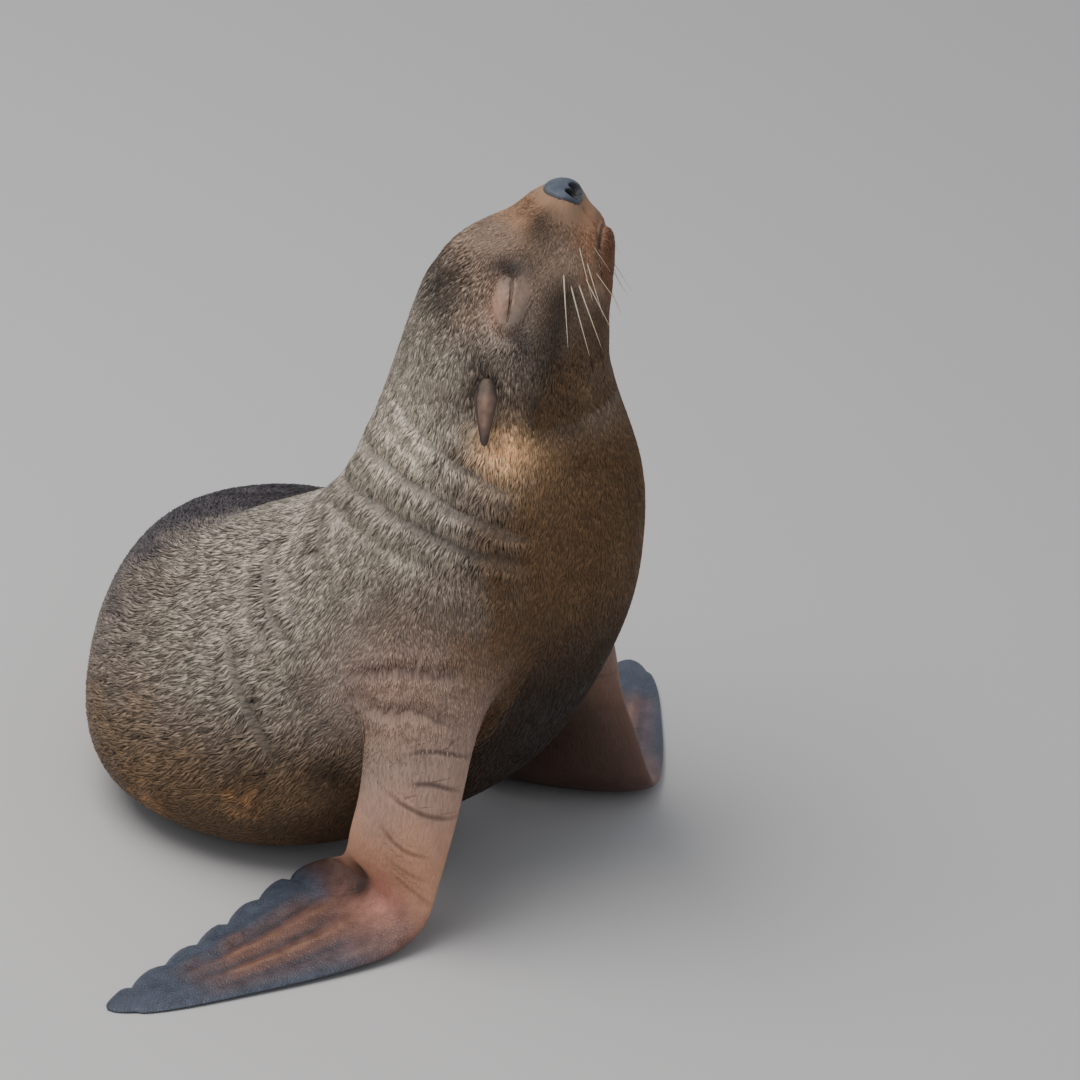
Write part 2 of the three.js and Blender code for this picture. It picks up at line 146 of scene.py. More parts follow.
# x y z, heading of the edge line, lean, dip, leading and trailing reach, top, underside
RIGHT_ARM = np.array([
    [-136, 38, 206, 0, 32, 34, 80, 72, 36, 34], [-152, 40, 152, 2, 14, 12, 64, 58, 36, 34],
    [-157, 49, 106, 5, 4, 0, 61, 55, 32, 22], [-153, 56, 68, 12, 12, 0, 60, 58, 28, 16],
    [-146, 62, 38, 24, 44, 0, 61, 78, 24, 22],
])
LEFT_ARM = np.array([
    [137, 34, 206, 0, 32, 34, 80, 72, 36, 34], [151, 18, 152, 2, 14, 12, 64, 58, 36, 34],
    [154, 2, 106, 4, 4, 0, 61, 55, 32, 26], [150, -9, 68, 8, 12, 0, 60, 58, 28, 22],
    [142, -15, 38, 12, 44, 0, 61, 78, 24, 22],
])
# distance from the wrist, leading edge, trailing edge, thickness above and below
BLADE = np.array([
    [22, 66, 118, 22, 14], [66, 67, 113, 15, 9], [124, 61, 88, 10, 6.5],
    [190, 50, 58, 8, 5.5], [262, 38, 33, 6.5, 4], [314, 18, 13, 4.5, 2.5],
])
# distance from the ankle, half width, height, thickness
FOOT = np.array([[0, 34, 38, 24], [52, 37, 19, 14], [120, 50, 9, 8.5], [188, 48, 5, 4.5]])
RIGHT_HAND = {"wrist": (-137.0, 59.0), "turn": 34.8, "side": -1, "stretch": 1.0}
LEFT_HAND = {"wrist": (134.0, -18.0), "turn": 16.0, "side": 1, "stretch": 0.88}
RIGHT_FOOT = {"ankle": (420.0, 404.0), "heading": 132.0, "side": -1}
LEFT_FOOT = {"ankle": (386.0, 258.0), "heading": 206.0, "side": 1}
ARM_POINTS = 12
FOOT_POINTS = 8


def circle(points, first):
    """Cosine and sine of equal steps round a ring, starting so many steps on."""
    turn = 2 * np.pi * (np.arange(points) + first) / points
    return np.cos(turn), np.sin(turn)


def arm_rings(arm, hand):
    """A ring is the edge line times the cosine of the angle round it plus the limb's face
    times the sine, each with one reach on its near side and another on its far side."""
    side = hand["side"]
    t = math.radians(hand["turn"])
    far, lead, trail, top, under = BLADE.T
    blade = np.column_stack([
        hand["wrist"][0] + side * math.cos(t) * far * hand["stretch"],
        hand["wrist"][1] + math.sin(t) * far * hand["stretch"],
        under - 1.5, 0 * far + hand["turn"], 0 * far + 90, 0 * far, lead, trail, top, under,
    ])
    rows = np.vstack([arm, blade])
    turn, lean, dip = np.radians(rows[:, 3:6]).T[:, :, None]
    lead, trail, top, under = rows[:, 6:].T[:, :, None] * LIMB_SWELL
    back = np.concatenate([-side * np.sin(turn), np.cos(turn), 0 * turn], -1)
    outward = np.concatenate([side * np.cos(turn), np.sin(turn), 0 * turn], -1)
    edge = back * np.cos(dip) - UP * np.sin(dip)
    rise = UP * np.cos(dip) + back * np.sin(dip)
    face = outward * np.cos(lean) + rise * np.sin(lean)
    c, s = circle(ARM_POINTS, 7)
    reach = np.where(c > 0, trail, lead) * c
    height = np.where(s > 0, top, under) * s
    return rows[:, None, :3] + edge[:, None] * reach[..., None] + face[:, None] * height[..., None]


def foot_rings(foot):
    """A ring is half the width across the heading times the cosine, and the thickness
    straight up times the sine."""
    far, half, height, thick = FOOT.T
    ahead = heading(foot["heading"])
    edge = foot["side"] * np.array([-ahead[1], ahead[0], 0.0])
    middle = np.array([*foot["ankle"], 0.0]) + far[:, None] * ahead + height[:, None] * UP
    c, s = circle(FOOT_POINTS, 5)
    rise = UP * (thick[:, None] * SWELL * s)[..., None]
    return middle[:, None] + edge * (half[:, None] * SWELL * c)[..., None] + rise


# Where a limb leaves the body its first ring meets the edge of a gap in the body's grid:
# rows of rings and columns of points, counted on the right side.
# The corner is where the sleeve starts on the flat map.
SHOULDER = {"rows": (HEAD_COUNT + 3, HEAD_COUNT + 7), "columns": (10, 12)}
HIP = {"rows": (HEAD_COUNT + 14, HEAD_COUNT + 16), "columns": (11, 13)}
LIMBS = [
    (SHOULDER, -1, arm_rings(RIGHT_ARM, RIGHT_HAND), (0.66, 0.0)),
    (SHOULDER, 1, arm_rings(LEFT_ARM, LEFT_HAND), (0.84, 0.0)),
    (HIP, -1, foot_rings(RIGHT_FOOT), (0.66, 0.62)),
    (HIP, 1, foot_rings(LEFT_FOOT), (0.84, 0.62)),
]


def rim(gap, side):
    """Grid places round the edge of a gap, from its front lower corner along the belly side."""
    (r0, r1), (low, high) = gap["rows"], gap["columns"]
    places = (
        [(i, low) for i in range(r0, r1)] + [(r1, c) for c in range(low, high)]
        + [(i, high) for i in range(r1, r0, -1)] + [(r0, c) for c in range(high, low, -1)]
    )
    return [(i, c if side < 0 else AROUND - c) for i, c in places]


# The flat map: how wide the body's part is, where it starts, and how far up it runs.
MAP_WIDE, MAP_START, MAP_TALL = 0.62, 0.02, 0.96


def body_row(height):
    """Which ring of the body, counted from the nose, a height on the flat map is."""
    return (height - MAP_START) / MAP_TALL * ROWS


def body_turn(width):
    """How far round the body from the back, in radians, a place across the flat map is."""
    return 2 * np.pi * width / MAP_WIDE


def speck(u, v, turn):
    """A ring so small on the flat map that a whole lid has nearly one place there."""
    return np.stack([u + 0.002 * np.cos(turn), v + 0.002 * np.sin(turn)], -1).tolist()


def cage():
    """Points, faces and a flat map of the whole cage: the grid of the body less its four gaps,
    a sleeve of quads for each limb, and a lid on every end."""
    points = [body_rings().reshape(-1, 3)]
    rows, columns = np.meshgrid(np.arange(ROWS - 1), np.arange(AROUND), indexing="ij")
    shut = np.ones(rows.shape, bool)
    for gap, side, _, _ in LIMBS:
        (r0, r1), (c0, c1) = gap["rows"], gap["columns"]
        c0, c1 = (c0, c1) if side < 0 else (AROUND - c1, AROUND - c0)
        shut[r0:r1, c0:c1] = False
    i, j = rows[shut], columns[shut]
    corners = [(i, j), (i, j + 1), (i + 1, j + 1), (i + 1, j)]
    faces = np.stack([r * AROUND + c % AROUND for r, c in corners], 1).tolist()
    maps = np.stack([
        np.stack([MAP_WIDE * c / AROUND, MAP_START + MAP_TALL * r / ROWS], -1) for r, c in corners
    ], 1).tolist()
    turn = 2 * np.pi * np.arange(AROUND) / AROUND
    for row, order, at in ((0, slice(None, None, -1), 0.64), (ROWS - 1, slice(None), 0.645)):
        faces.append((row * AROUND + np.arange(AROUND)[order]).tolist())
        maps.append(speck(at, 0.5, turn))
    count = ROWS * AROUND
    for gap, side, rings, corner in LIMBS:
        last = np.array([r * AROUND + c for r, c in rim(gap, side)])
        around = len(last)
        k = np.arange(around)
        for n, ring in enumerate(rings):
            fresh = count + k
            count += around
            quad = [
                (last, k, n), (fresh, k, n + 1),
                (np.roll(fresh, -1), k + 1, n + 1), (np.roll(last, -1), k + 1, n),
            ]
            quad = quad if side < 0 else [quad[0], quad[3], quad[2], quad[1]]
            faces += np.stack([index for index, _, _ in quad], 1).tolist()
            maps += np.stack([
                np.stack([
                    corner[0] + 0.15 * c / around,
                    corner[1] + 0.03 * around * r / len(rings) + 0 * c,
                ], -1) for _, c, r in quad
            ], 1).tolist()
            points.append(ring)
            last = fresh
        faces.append(last[::side].tolist())
        turn = 2 * np.pi * k / around
        maps.append(speck(corner[0] - 0.01, corner[1] + 0.1, turn))
    return in_frame(np.vstack(points)), faces, maps


def mesh_piece(name, points, faces, maps=None, map_name="UVMap", smooth=True):
    """A new object with its place in its mesh."""
    mesh = bpy.data.meshes.new(name)
    mesh.from_pydata(points.tolist(), [], faces)
    if maps is not None:
        flat = np.concatenate([np.asarray(m, np.float32) for m in maps]).ravel()
        mesh.uv_layers.new(name=map_name).data.foreach_set("uv", flat)
    mesh.polygons.foreach_set("use_smooth", [smooth] * len(mesh.polygons))
    piece = bpy.data.objects.new(name, mesh)
    bpy.context.scene.collection.objects.link(piece)
    return piece


def settle(piece):
    """Works the piece's modifiers into its mesh."""
    graph = bpy.context.evaluated_depsgraph_get()
    settled = bpy.data.meshes.new_from_object(piece.evaluated_get(graph))
    settled.name = piece.name
    piece.modifiers.clear()
    piece.data = settled


skin = mesh_piece("skin", *cage(), map_name="OFBake")
rounding = skin.modifiers.new("rounding", "SUBSURF")
rounding.levels = rounding.render_levels = 3
settle(skin)

# ---- the form of the skin ------------------------------------------------------------
# The rounded cage is drawn in by the depth of the coat. Then the lids, the whisker pads,
# the lips, the folds of neck and shoulder, and the finger ridges are pressed into it.
FLESH = [
    "head", "neck", "chest", "trunk", "hips", "tail", "lower_jaw", "forearm_right", "forearm_left",
    "fore_flipper_right", "fore_flipper_left", "hind_flipper_right", "hind_flipper_left",
]
COAT_DEPTH = 4.0
BARE_DEPTH = 0.8
LID_PLACE = (15.0, 6.0, 67.0)
LID_HALF = (24.0, 14.0)
LID_SLOPE = math.radians(23.6)
MOUTH_FRONT = (112.0, -28.0)
MOUTH_CORNER = (48.0, -67.0)
FACE_FLOOR = 560.0
FINGERS = 4.6
TOE_GAP = 19


def read(mesh, values, field, width):
    """One field of every element of a mesh as a whole array."""
    out = np.empty(len(values) * width, np.float32)
    values.foreach_get(field, out)
    return out.reshape(-1, width).astype(float)


def ease(value, low, high):
    """0 below low, 1 above high, and three times the square less twice the cube between."""
    t = np.clip((value - low) / (high - low), 0, 1)
    return t * t * (3 - 2 * t)


def bell(distance, width):
    """The exponential of less the square of distance over width."""
    return np.exp(-((distance / width) ** 2))


def head_places(points):
    """Along the muzzle, up through the crown and left, for points in millimetres."""
    from_eye = points - EYE_LEVEL
    return from_eye @ MUZZLE, from_eye @ CROWN, from_eye @ HEAD_LEFT


def lid_places(points):
    """Along and across the slit of the nearer eye, each over half the size of the lids."""
    a, b, _ = head_places(points)
    a, b = a - LID_PLACE[0], b - LID_PLACE[1]
    c, s = math.cos(LID_SLOPE), math.sin(LID_SLOPE)
    return (a * c + b * s) / LID_HALF[0], (b * c - a * s) / LID_HALF[1]


def above_mouth(points):
    """Distance above the plane of the lips, and how far along it from corner to front."""
    a, b, _ = head_places(points)
    line = np.array(MOUTH_FRONT) - np.array(MOUTH_CORNER)
    length = np.linalg.norm(line)
    a, b = a - MOUTH_CORNER[0], b - MOUTH_CORNER[1]
    return (b * line[0] - a * line[1]) / length, (a * line[0] + b * line[1]) / length


def from_line(points, line):
    """The least distance from each point to the pieces of a line, and how far along it."""
    line = np.asarray(line, float)
    best, along = np.full(len(points), 1e9), np.zeros(len(points))
    for n, (start, end) in enumerate(zip(line[:-1], line[1:])):
        step = end - start
        t = np.clip((points - start) @ step / (step @ step), 0, 1)
        gap = np.linalg.norm(points - start - t[:, None] * step, axis=1)
        along = np.where(gap < best, (n + t) / (len(line) - 1), along)
        best = np.minimum(best, gap)
    return best, along


# Full and hollow places: height, reach and middle.
SWELLS = [
    (7.0, 60, (-55, 400, 215)), (4.0, 70, (-20, 330, 270)), (5.0, 75, (20, -125, 460)),
    (-8.0, 42, (146, -52, 118)), (3.0, 40, (-160, 40, 255)), (-2.5, 30, (-150, 110, 150)),
]
# Folds: depth, width and the places that they run through.
FOLDS = [
    (4.5, 9, [(-35, 150, 470), (-85, 93, 475), (-107, 35, 466), (-109, -18, 449), (-98, -59, 437)]),
    (5.0, 10, [
        (-28, 167, 417), (-97, 98, 436), (-117, 41, 430), (-118, -11, 420), (-104, -57, 410),
    ]),
    (3.0, 8, [(-66, 91, 536), (-95, 41, 514), (-101, -4, 495), (-95, -42, 480)]),
    (6.0, 8, [(-65, 221, 342), (-96, 217, 325), (-120, 202, 308), (-138, 177, 290)]),
    (5.5, 7, [(-59, 173, 390), (-91, 162, 374), (-102, 165, 357)]),
    (5.0, 10, [(-127, 242, 263), (-145, 220, 222), (-153, 194, 188), (-150, 178, 150)]),
    (3.0, 8, [(-150, 262, 235), (-158, 246, 195), (-158, 230, 150), (-150, 214, 118)]),
    (3.0, 9, [(-155, 98, 247), (-160, 64, 245), (-159, 22, 260), (-152, -11, 249)]),
    (3.0, 7, [(-150, 100, 272), (-152, 46, 296), (-142, -10, 298)]),
    (3.5, 9, [(35, 150, 470), (88, 90, 478), (108, 30, 468), (108, -20, 452)]),
    (4.0, 9, [(30, 170, 417), (100, 98, 440), (118, 36, 432), (114, -20, 424)]),
]


def fold_fade(along):
    """How strong a fold is along its line: the sine of the way along, raised to 0.6."""
    return np.sin(np.pi * np.clip(0.06 + 0.88 * along, 0, 1)) ** 0.6


def hand_ways(hand):
    """Unit vectors outward from the wrist, and back from the leading edge."""
    t, side = math.radians(hand["turn"]), hand["side"]
    outward = np.array([side * math.cos(t), math.sin(t), 0])
    return outward, np.array([-side * math.sin(t), math.cos(t), 0])


def hand_places(points, hand):
    """Outward from the wrist and back from the leading edge's line, in millimetres."""
    from_wrist = points - np.array([*hand["wrist"], 0.0])
    outward, back = hand_ways(hand)
    return from_wrist @ outward / hand["stretch"], from_wrist @ back


def foot_places(points, foot):
    """Outward from the ankle, and across the sole from its middle, in millimetres."""
    ahead = heading(foot["heading"])
    from_ankle = points - np.array([*foot["ankle"], 0.0])
    return from_ankle @ ahead, from_ankle @ np.array([-ahead[1], ahead[0], 0.0])


def finger_wave(share):
    """A cosine that rises at each finger, from a share of the hand's width."""
    return np.cos(2 * np.pi * (share * FINGERS - 0.35))


def finger_lines(far, back):
    """Which finger a place lies on: the share of the hand's width behind the leading edge."""
    lead = np.interp(far, BLADE[:, 0], BLADE[:, 1])
    trail = np.interp(far, BLADE[:, 0], BLADE[:, 2])
    return (back + lead) / (lead + trail)


flat_map = read(skin.data, skin.data.uv_layers["OFBake"].data, "uv", 2)
corner_vertex = read(skin.data, skin.data.loops, "vertex_index", 1).astype(int)[:, 0]
place_on_map = np.zeros((len(skin.data.vertices), 2))
place_on_map[corner_vertex] = flat_map
form = read(skin.data, skin.data.vertices, "co", 3) * 1000 + BELLY_REST
normal = read(skin.data, skin.data.vertex_normals, "vector", 3)


def down_limb(place):
    """How far down a fore limb, and down a hind one, a place of the flat map lies: the share of
    the sleeve's length, and all of it on the lid at its end."""
    u, v = place.T
    lid = (np.abs(u - 0.65) < 0.003) | (np.abs(u - 0.83) < 0.003)
    beyond = u > 0.6475
    fore, hind = beyond & (v < 0.45), beyond & (v > 0.55)
    return fore * np.where(lid, 1, v / 0.36), hind * np.where(lid, 1, (v - 0.62) / 0.24), fore, hind


down_arm, down_foot, in_arm, in_foot = down_limb(place_on_map)


def carve(points):
    """How far each place stands out, in millimetres: less the coat's depth, plus the lids and
    whisker pads as bells round their middles, less bells across the lips and each fold."""
    a, b, left = head_places(points)
    face = ease(a, 20, 62) * ease(-np.abs(points[:, 0]), -120, -100)
    bare_limb = np.maximum(ease(down_arm, 0.36, 0.5), ease(down_foot, 0.1, 0.5))
    out = -COAT_DEPTH + (COAT_DEPTH - BARE_DEPTH) * np.maximum(face, bare_limb)
    along, over = lid_places(points)
    ring = np.hypot(along, over)
    at_side = ease(np.abs(left), 30, 50) * (points[:, 2] > FACE_FLOOR)
    out += at_side * (3.2 * np.exp(-1.3 * ring ** 2) - 2.6 * bell(ring - 1.45, 0.42))
    out -= at_side * 1.6 * bell(over, 0.13) * ease(-np.abs(along), -0.95, -0.75)
    # The bridge of the nose is hollow, the chin and the brow are full.
    out -= 6.0 * bell(a - 76, 24) * ease(b, -5, 38) * (points[:, 2] > FACE_FLOOR)
    out -= 4.5 * bell(np.hypot(a - 112, b + 20), 15)
    out += 2.5 * bell(np.hypot(a - 92, b + 50), 16)
    for size, reach, middle in SWELLS:
        out += size * bell(np.linalg.norm(points - middle, axis=1), reach)
    out += 2.0 * bell(a - 22, 22) * ease(b, 40, 70) * (points[:, 2] > FACE_FLOOR)
    # Whisker pads, the groove between them, and the lips.
    pad = np.linalg.norm(np.stack([(a - 92) / 1.2, b + 6, np.abs(left) - 27], -1), axis=1)
    out += 4.2 * bell(pad, 19)
    out -= 3.0 * bell(left, 3.5) * ease(a, 92, 104) * ease(-b, 12, 20)
    height, forward = above_mouth(points)
    out -= 3.4 * bell(height, 2.8) * ease(forward, -4, 14)
    out += 1.6 * bell(height - 6, 5) * ease(forward, 6, 24)
    out += 1.4 * bell(height + 6, 5) * ease(forward, 6, 24)
    for depth, width, line in FOLDS:
        gap, along_fold = from_line(points, line)
        profile = bell(gap, 0.7 * width) - 0.5 * bell(gap - 1.7 * width, 0.8 * width)
        out -= depth * fold_fade(along_fold) * profile
    return out


def ridges(points, out):
    """Finger ridges are a cosine across the hand's width, strongest half way out; the pit at the
    wrist is a bell; toe ridges are a cosine across the foot."""
    for hand, which in ((RIGHT_HAND, points[:, 0] < 0), (LEFT_HAND, points[:, 0] > 0)):
        far, back = hand_places(points, hand)
        share = finger_lines(far, back)
        on_top = in_arm & which & (points[:, 2] > np.interp(far, BLADE[:, 0], BLADE[:, 4]) - 1)
        strength = (
            ease(far, 30, 90) * ease(-far, -285, -200)
            * ease(share, 0.05, 0.2) * ease(-share, -0.99, -0.85)
        )
        out += on_top * 1.5 * strength * finger_wave(share)
        out -= on_top * 3.5 * bell(np.hypot(far - 28, back - 22), 13)
    for foot, which in ((RIGHT_FOOT, points[:, 1] > 330), (LEFT_FOOT, points[:, 1] <= 330)):
        far, side = foot_places(points, foot)
        on_top = in_foot & which
        out += on_top * 1.2 * ease(far, 30, 90) * np.cos(2 * np.pi * side / 20)
    return out


form += normal * ridges(form, carve(form))[:, None]

# The trailing edge of a hand is scalloped between the ends of its fingers, and the toes end
# in five long lobes. The tip of a hand is rounded and lies flat.
for hand, which in ((RIGHT_HAND, form[:, 0] < 0), (LEFT_HAND, form[:, 0] > 0)):
    far, back = hand_places(form, hand)
    share = finger_lines(far, back)
    step = ((far - 18) / 44) % 1
    scallop = np.sin(np.pi * step ** 0.65) ** 0.6 - 0.75
    edge = (in_arm & which) * ease(share, 0.55, 1.0) * ease(far, 26, 60) * ease(-far, -306, -288)
    form += (11.0 * scallop * edge)[:, None] * hand_ways(hand)[1]
for foot, which in ((RIGHT_FOOT, form[:, 1] > 330), (LEFT_FOOT, form[:, 1] <= 330)):
    far, side = foot_places(form, foot)
    lobe = np.cos(np.pi * side / TOE_GAP) ** 2
    tip = (in_foot & which) * ease(far, 130, 178)
    form += (tip * (30 * lobe - 4 - 0.0045 * side ** 2))[:, None] * heading(foot["heading"])
for hand, which in ((RIGHT_HAND, form[:, 0] < 0), (LEFT_HAND, form[:, 0] > 0)):
    far, back = hand_places(form, hand)
    at_end = (in_arm & which) * ease(far, 285, 316)
    round_off = at_end * (np.sqrt(np.clip(1 - ((back - 2) / 21) ** 2, 0, 1)) - 0.6)
    form += (round_off * 17)[:, None] * hand_ways(hand)[0]
    form[:, 2] += at_end * (np.clip(form[:, 2], 0.8, 4.0) - form[:, 2])
form[:, 2] = np.maximum(form[:, 2], 0.6)
skin.data.vertices.foreach_set("co", in_frame(form).ravel())
skin.data.update()

# ---- the colours of the coat ---------------------------------------------------------
# Damp guard hair is silvery brown on the back and olive brown on the chest. The muzzle is
# rusty, the cheeks are dark, and the flippers go from rust at the wrist to slate at the edge.
# Some colours below are painted light and shade: shade low under the chest, in the armpit, on the
# far forearm, beside the bridge of the nose, in the wrist pit and along the folds, and light on the
# wrist.


def tone(red, green, blue):
    """A colour of 0 to 255 as linear light: the share less its foot, raised to 2.4."""
    share = np.array([red, green, blue]) / 255
    return np.where(share <= 0.04045, share / 12.92, ((share + 0.055) / 1.055) ** 2.4)


def ripple(points, size, seed):
    """Soft noise from -1 to 1: the mean of seven sines along seeded directions, times two."""
    draws = np.random.default_rng(seed)
    ways = unit(draws.normal(size=(7, 3))) * draws.uniform(0.7, 1.5, (7, 1)) * 2 * np.pi / size
    return np.clip(np.sin(points @ ways.T + draws.uniform(0, 6.28, 7)).mean(-1) * 2, -1, 1)


SILVER = tone(184, 172, 156)
COAT = tone(152, 136, 122)
HUMP = tone(82, 73, 75)
FLANK_LOW = tone(134, 108, 80)
UNDERSIDE = tone(106, 80, 54)
CHEST = tone(116, 88, 60)
CHEST_LOW = tone(70, 54, 42)
THROAT = tone(205, 166, 124)
CHEEK = tone(68, 55, 44)
FACE = tone(168, 142, 122)
BRIDGE = tone(168, 130, 100)
LIPS = tone(172, 128, 96)
JAW = tone(138, 94, 70)
EYE_RING = tone(184, 144, 122)
WET = tone(50, 40, 36)
ARM = tone(188, 152, 134)
WRIST = tone(206, 152, 122)
HAND = tone(116, 85, 75)
SLATE = tone(74, 80, 93)
RUST = tone(182, 132, 84)


BODY_CAGE = body_rings()
SPINE = (BODY_CAGE[:, 0] + BODY_CAGE[:, AROUND // 2]) / 2
BACKWARD = BODY_CAGE[:, 0] - SPINE


def markings(points, place):
    """The colour of each place: soft fields laid over one another, each a colour and a mask of
    smooth steps and bells of the body's rows, the side up, and the head's own directions. Some
    fields, and the darkening along the folds, are painted shade; one lightens the wrist as painted
    light."""
    u, v = place.T
    arm, foot, in_arm, in_foot = down_limb(place)
    body = ~(in_arm | in_foot)
    rump = body | in_foot
    row = np.where(body, body_row(v), np.where(in_foot, 20, 14))
    row = np.where((u > 0.63) & (u < 0.6425), 0, np.where((u >= 0.6425) & (u < 0.6475), ROWS, row))
    x, y, z = points.T
    rows = slice(18, 9, -1)
    middle = np.stack([np.interp(z, SPINE[rows, 2], SPINE[rows, n]) for n in range(3)], -1)
    half = np.stack([np.interp(z, SPINE[rows, 2], BACKWARD[rows, n]) for n in range(3)], -1)
    limb_up = np.sum((points - middle) * half, 1) / np.sum(half ** 2, 1)
    up = np.where(body, np.cos(body_turn(u)), limb_up)
    up = np.where(in_foot, 0.0, up)
    chest = np.where(body, 1, ease(-arm, -0.16, -0.02) * ~in_foot)
    a, b, left = head_places(points)
    out = np.abs(left)
    head = ease(-row, -9.5, -7.5) * (z > 500)
    wave = ripple(points, 60, 3)
    small = ripple(points, 22, 4)
    height, forward = above_mouth(points)
    along, over = lid_places(points)
    side = ease(out, 25, 45)
    cheek_line = [(36, -36, 0), (2, -46, 0), (-36, -64, 0), (-58, -66, 0)]
    cheek_gap = from_line(np.stack([a, b, 0 * a], -1), cheek_line)[0]
    mirrored = np.column_stack([-np.abs(x), y, z])

    def spot(middle, width):
        """A bell round a place of the animal's right side and its mirror on the left."""
        return bell(np.linalg.norm(mirrored - middle, axis=1), width)

    fields = [
        # Back, flank, chest and throat.
        (SILVER,
         body * ease(up + 0.25 * wave, -0.2, 0.6) * ease(row, 6.5, 10.5) * ease(-row, -21.5, -19)),
        (COAT, 0.5 * body * ease(wave, 0.2, 0.8)),
        (HUMP, body * ease(row + 0.5 * wave, 20.6, 22.2) * ease(up, 0.05, 0.75)),
        (FLANK_LOW, rump * ease(row, 14, 17) * ease(-z + 18 * wave, -215, -95)),
        (UNDERSIDE, rump * ease(row, 14, 17) * ease(-z + 12 * wave, -110, -50)),
        (CHEST,
         chest * ease(-up + 0.12 * wave, 0.0, 0.55) * ease(row, 8.5, 10.5) * ease(-row, -20, -17)),
        (CHEST_LOW,
         chest * ease(-up + 0.1 * wave, 0.35, 0.85) * ease(row, 12.5, 16) * ease(-row, -20, -18)),
        (SILVER * 1.7, 0.8 * spot((-82, 80, 500), 58)),
        (SILVER * 1.25, 0.5 * spot((-118, 45, 425), 42)),
        # Painted shade low under the front of the chest.
        (CHEST_LOW * 0.55, 0.8 * body * ease(-y, -40, 40) * ease(-z, -390, -230)),
        (THROAT * 2.6, 0.95 * spot((-88, -36, 522), 27)),
        (THROAT * 0.75, 0.3 * spot((-84, -52, 500), 40)),
        # Face, crown, cheeks and lips.
        (FACE, head * ease(a, -10, 30)),
        (COAT * (0.37 + 0.17 * small[:, None]),
         head * ease(b + 9 * wave, 46, 64) * ease(-a, -40, 10)),
        (FACE * 1.35, 0.7 * head * bell(np.hypot(a + 18, (b - 33) / 0.8), 24) * side),
        (CHEEK * 1.25,
         0.95 * body * bell(cheek_gap, 25 + 6 * ease(-a, -10, 40)) ** 1.2 * ease(out, 22, 42)),
        (CHEEK * 1.1,
         0.7 * body * bell(np.hypot((a + 62) / 1.5, (b + 2) / 0.7), 16) * ease(out, 60, 74)),
        (CHEEK * 1.3,
         (0.6 + 0.4 * small) * head * bell(np.hypot(a - 4, b - 62), 24) * ease(out, 20, 45)),
        (BRIDGE, head * ease(a + 5 * small, 48, 80) * ease(b, -10, 25)),
        (FACE * 0.85, 0.7 * head * bell(np.hypot((a - 62) / 1.3, b - 2), 17) * side),
        (BRIDGE * 1.05, 0.9 * head * ease(a, 84, 102)),
        # Painted shade beside the bridge of the nose.
        (CHEEK * 1.6,
         0.8 * head * bell(np.hypot((a - 84) / 1.4, (b - 14) / 0.9), 15) * ease(out, 19, 32)),
        (LIPS, head * ease(a, 72, 100) * ease(-b, 8, 24)),
        (LIPS, 0.7 * head * bell(height - 6, 9) * ease(forward, 0, 20)),
        (CHEST * 0.8, 0.85 * (z > 540) * ease(-b, 50, 72) * ease(-a, -70, -25)),
        (CHEEK * 1.8, 0.4 * head * bell(np.hypot((a - 80) / 1.5, b - 2), 22) * ease(out, 20, 35)),
        (JAW, head * ease(-height, 0, 3) * ease(forward, -28, 8) * ease(height, -60, -25)),
        (CHEST, 0.6 * head * ease(-height, 5, 30) * ease(-forward, -30, 10)),
        # Round the eye.
        (EYE_RING,
         head * side * bell(np.hypot((along + 0.2) / 1.1, (over - 0.7) / 1.15), 0.8)
         * ease(over, -0.5, 0.0)),
        (EYE_RING * 0.75,
         0.55 * head * side * bell(np.hypot((along - 0.1) / 0.9, (over + 0.35) / 0.8), 0.5)),
        (WET * 1.1,
         0.97 * head * side * bell(np.hypot((along - 1.15) / 0.6, (over - 0.2) / 2.0), 0.75)),
        (WET * 1.4,
         0.75 * head * side * bell(np.hypot((along + 1.45) / 0.8, (over + 0.75) / 1.5), 0.6)),
        # Stains low on the flank.
        (UNDERSIDE * 0.6, 0.55 * spot((-151, 213, 122), 34)),
        (FLANK_LOW * 1.3, 0.7 * spot((-142, 165, 112), 26)),
        (CHEST * 0.8, 0.4 * spot((-146, 50, 345), 42)),
        (RUST * 1.5, 0.9 * spot((-149, 218, 96), 18) * ease(small, -0.7, 0.3)),
        (RUST * 1.2, 0.7 * spot((-112, 330, 60), 26) * ease(small, -0.4, 0.4)),
        # Limbs.
        (ARM, in_arm * ease(arm, 0.0, 0.22)),
        (ARM * 1.2, 0.8 * spot((-150, 50, 262), 60)),
        # Painted shade in the hollow between the arm and the trunk.
        (UNDERSIDE * 0.3, 0.8 * spot((-142, 124, 146), 24)),
        (WRIST, in_arm * ease(arm + 0.03 * wave, 0.12, 0.34)),
        (HAND, in_arm * ease(arm + 0.03 * wave, 0.42, 0.52)),
        # Painted light: the wrist faces down, away from the lamps, and is made lighter and pinker.
        (WRIST * [1.1, 0.95, 1.1], 0.8 * in_arm * spot((-163, 60, 46), 32)),
        # Painted shade on the far forearm, which lies in the chest's shadow: it is browner and
        # darker than the near arm.
        (HAND * [1.4, 1.4, 1.6], 0.7 * in_arm * (x > 0) * ease(arm, 0.1, 0.4)),
        (CHEST_LOW * 0.8, 0.85 * in_arm * (x > 0) * ease(-x, -190, -130) * ease(arm, 0.06, 0.3)),
        (HAND, in_foot * ease(foot, 0.3, 0.6)),
    ]
    for hand, which in ((RIGHT_HAND, x < 0), (LEFT_HAND, x > 0)):
        far, back = hand_places(points, hand)
        share = finger_lines(far, back)
        here = in_arm * which * ease(arm, 0.36, 0.46)
        finger = finger_wave(share)
        edge = np.maximum(
            ease(share + 0.07 * wave, 0.5, 0.8) * ease(far, 22, 60),
            ease(-share, -0.3, 0.0) * ease(far, 20, 120),
        )
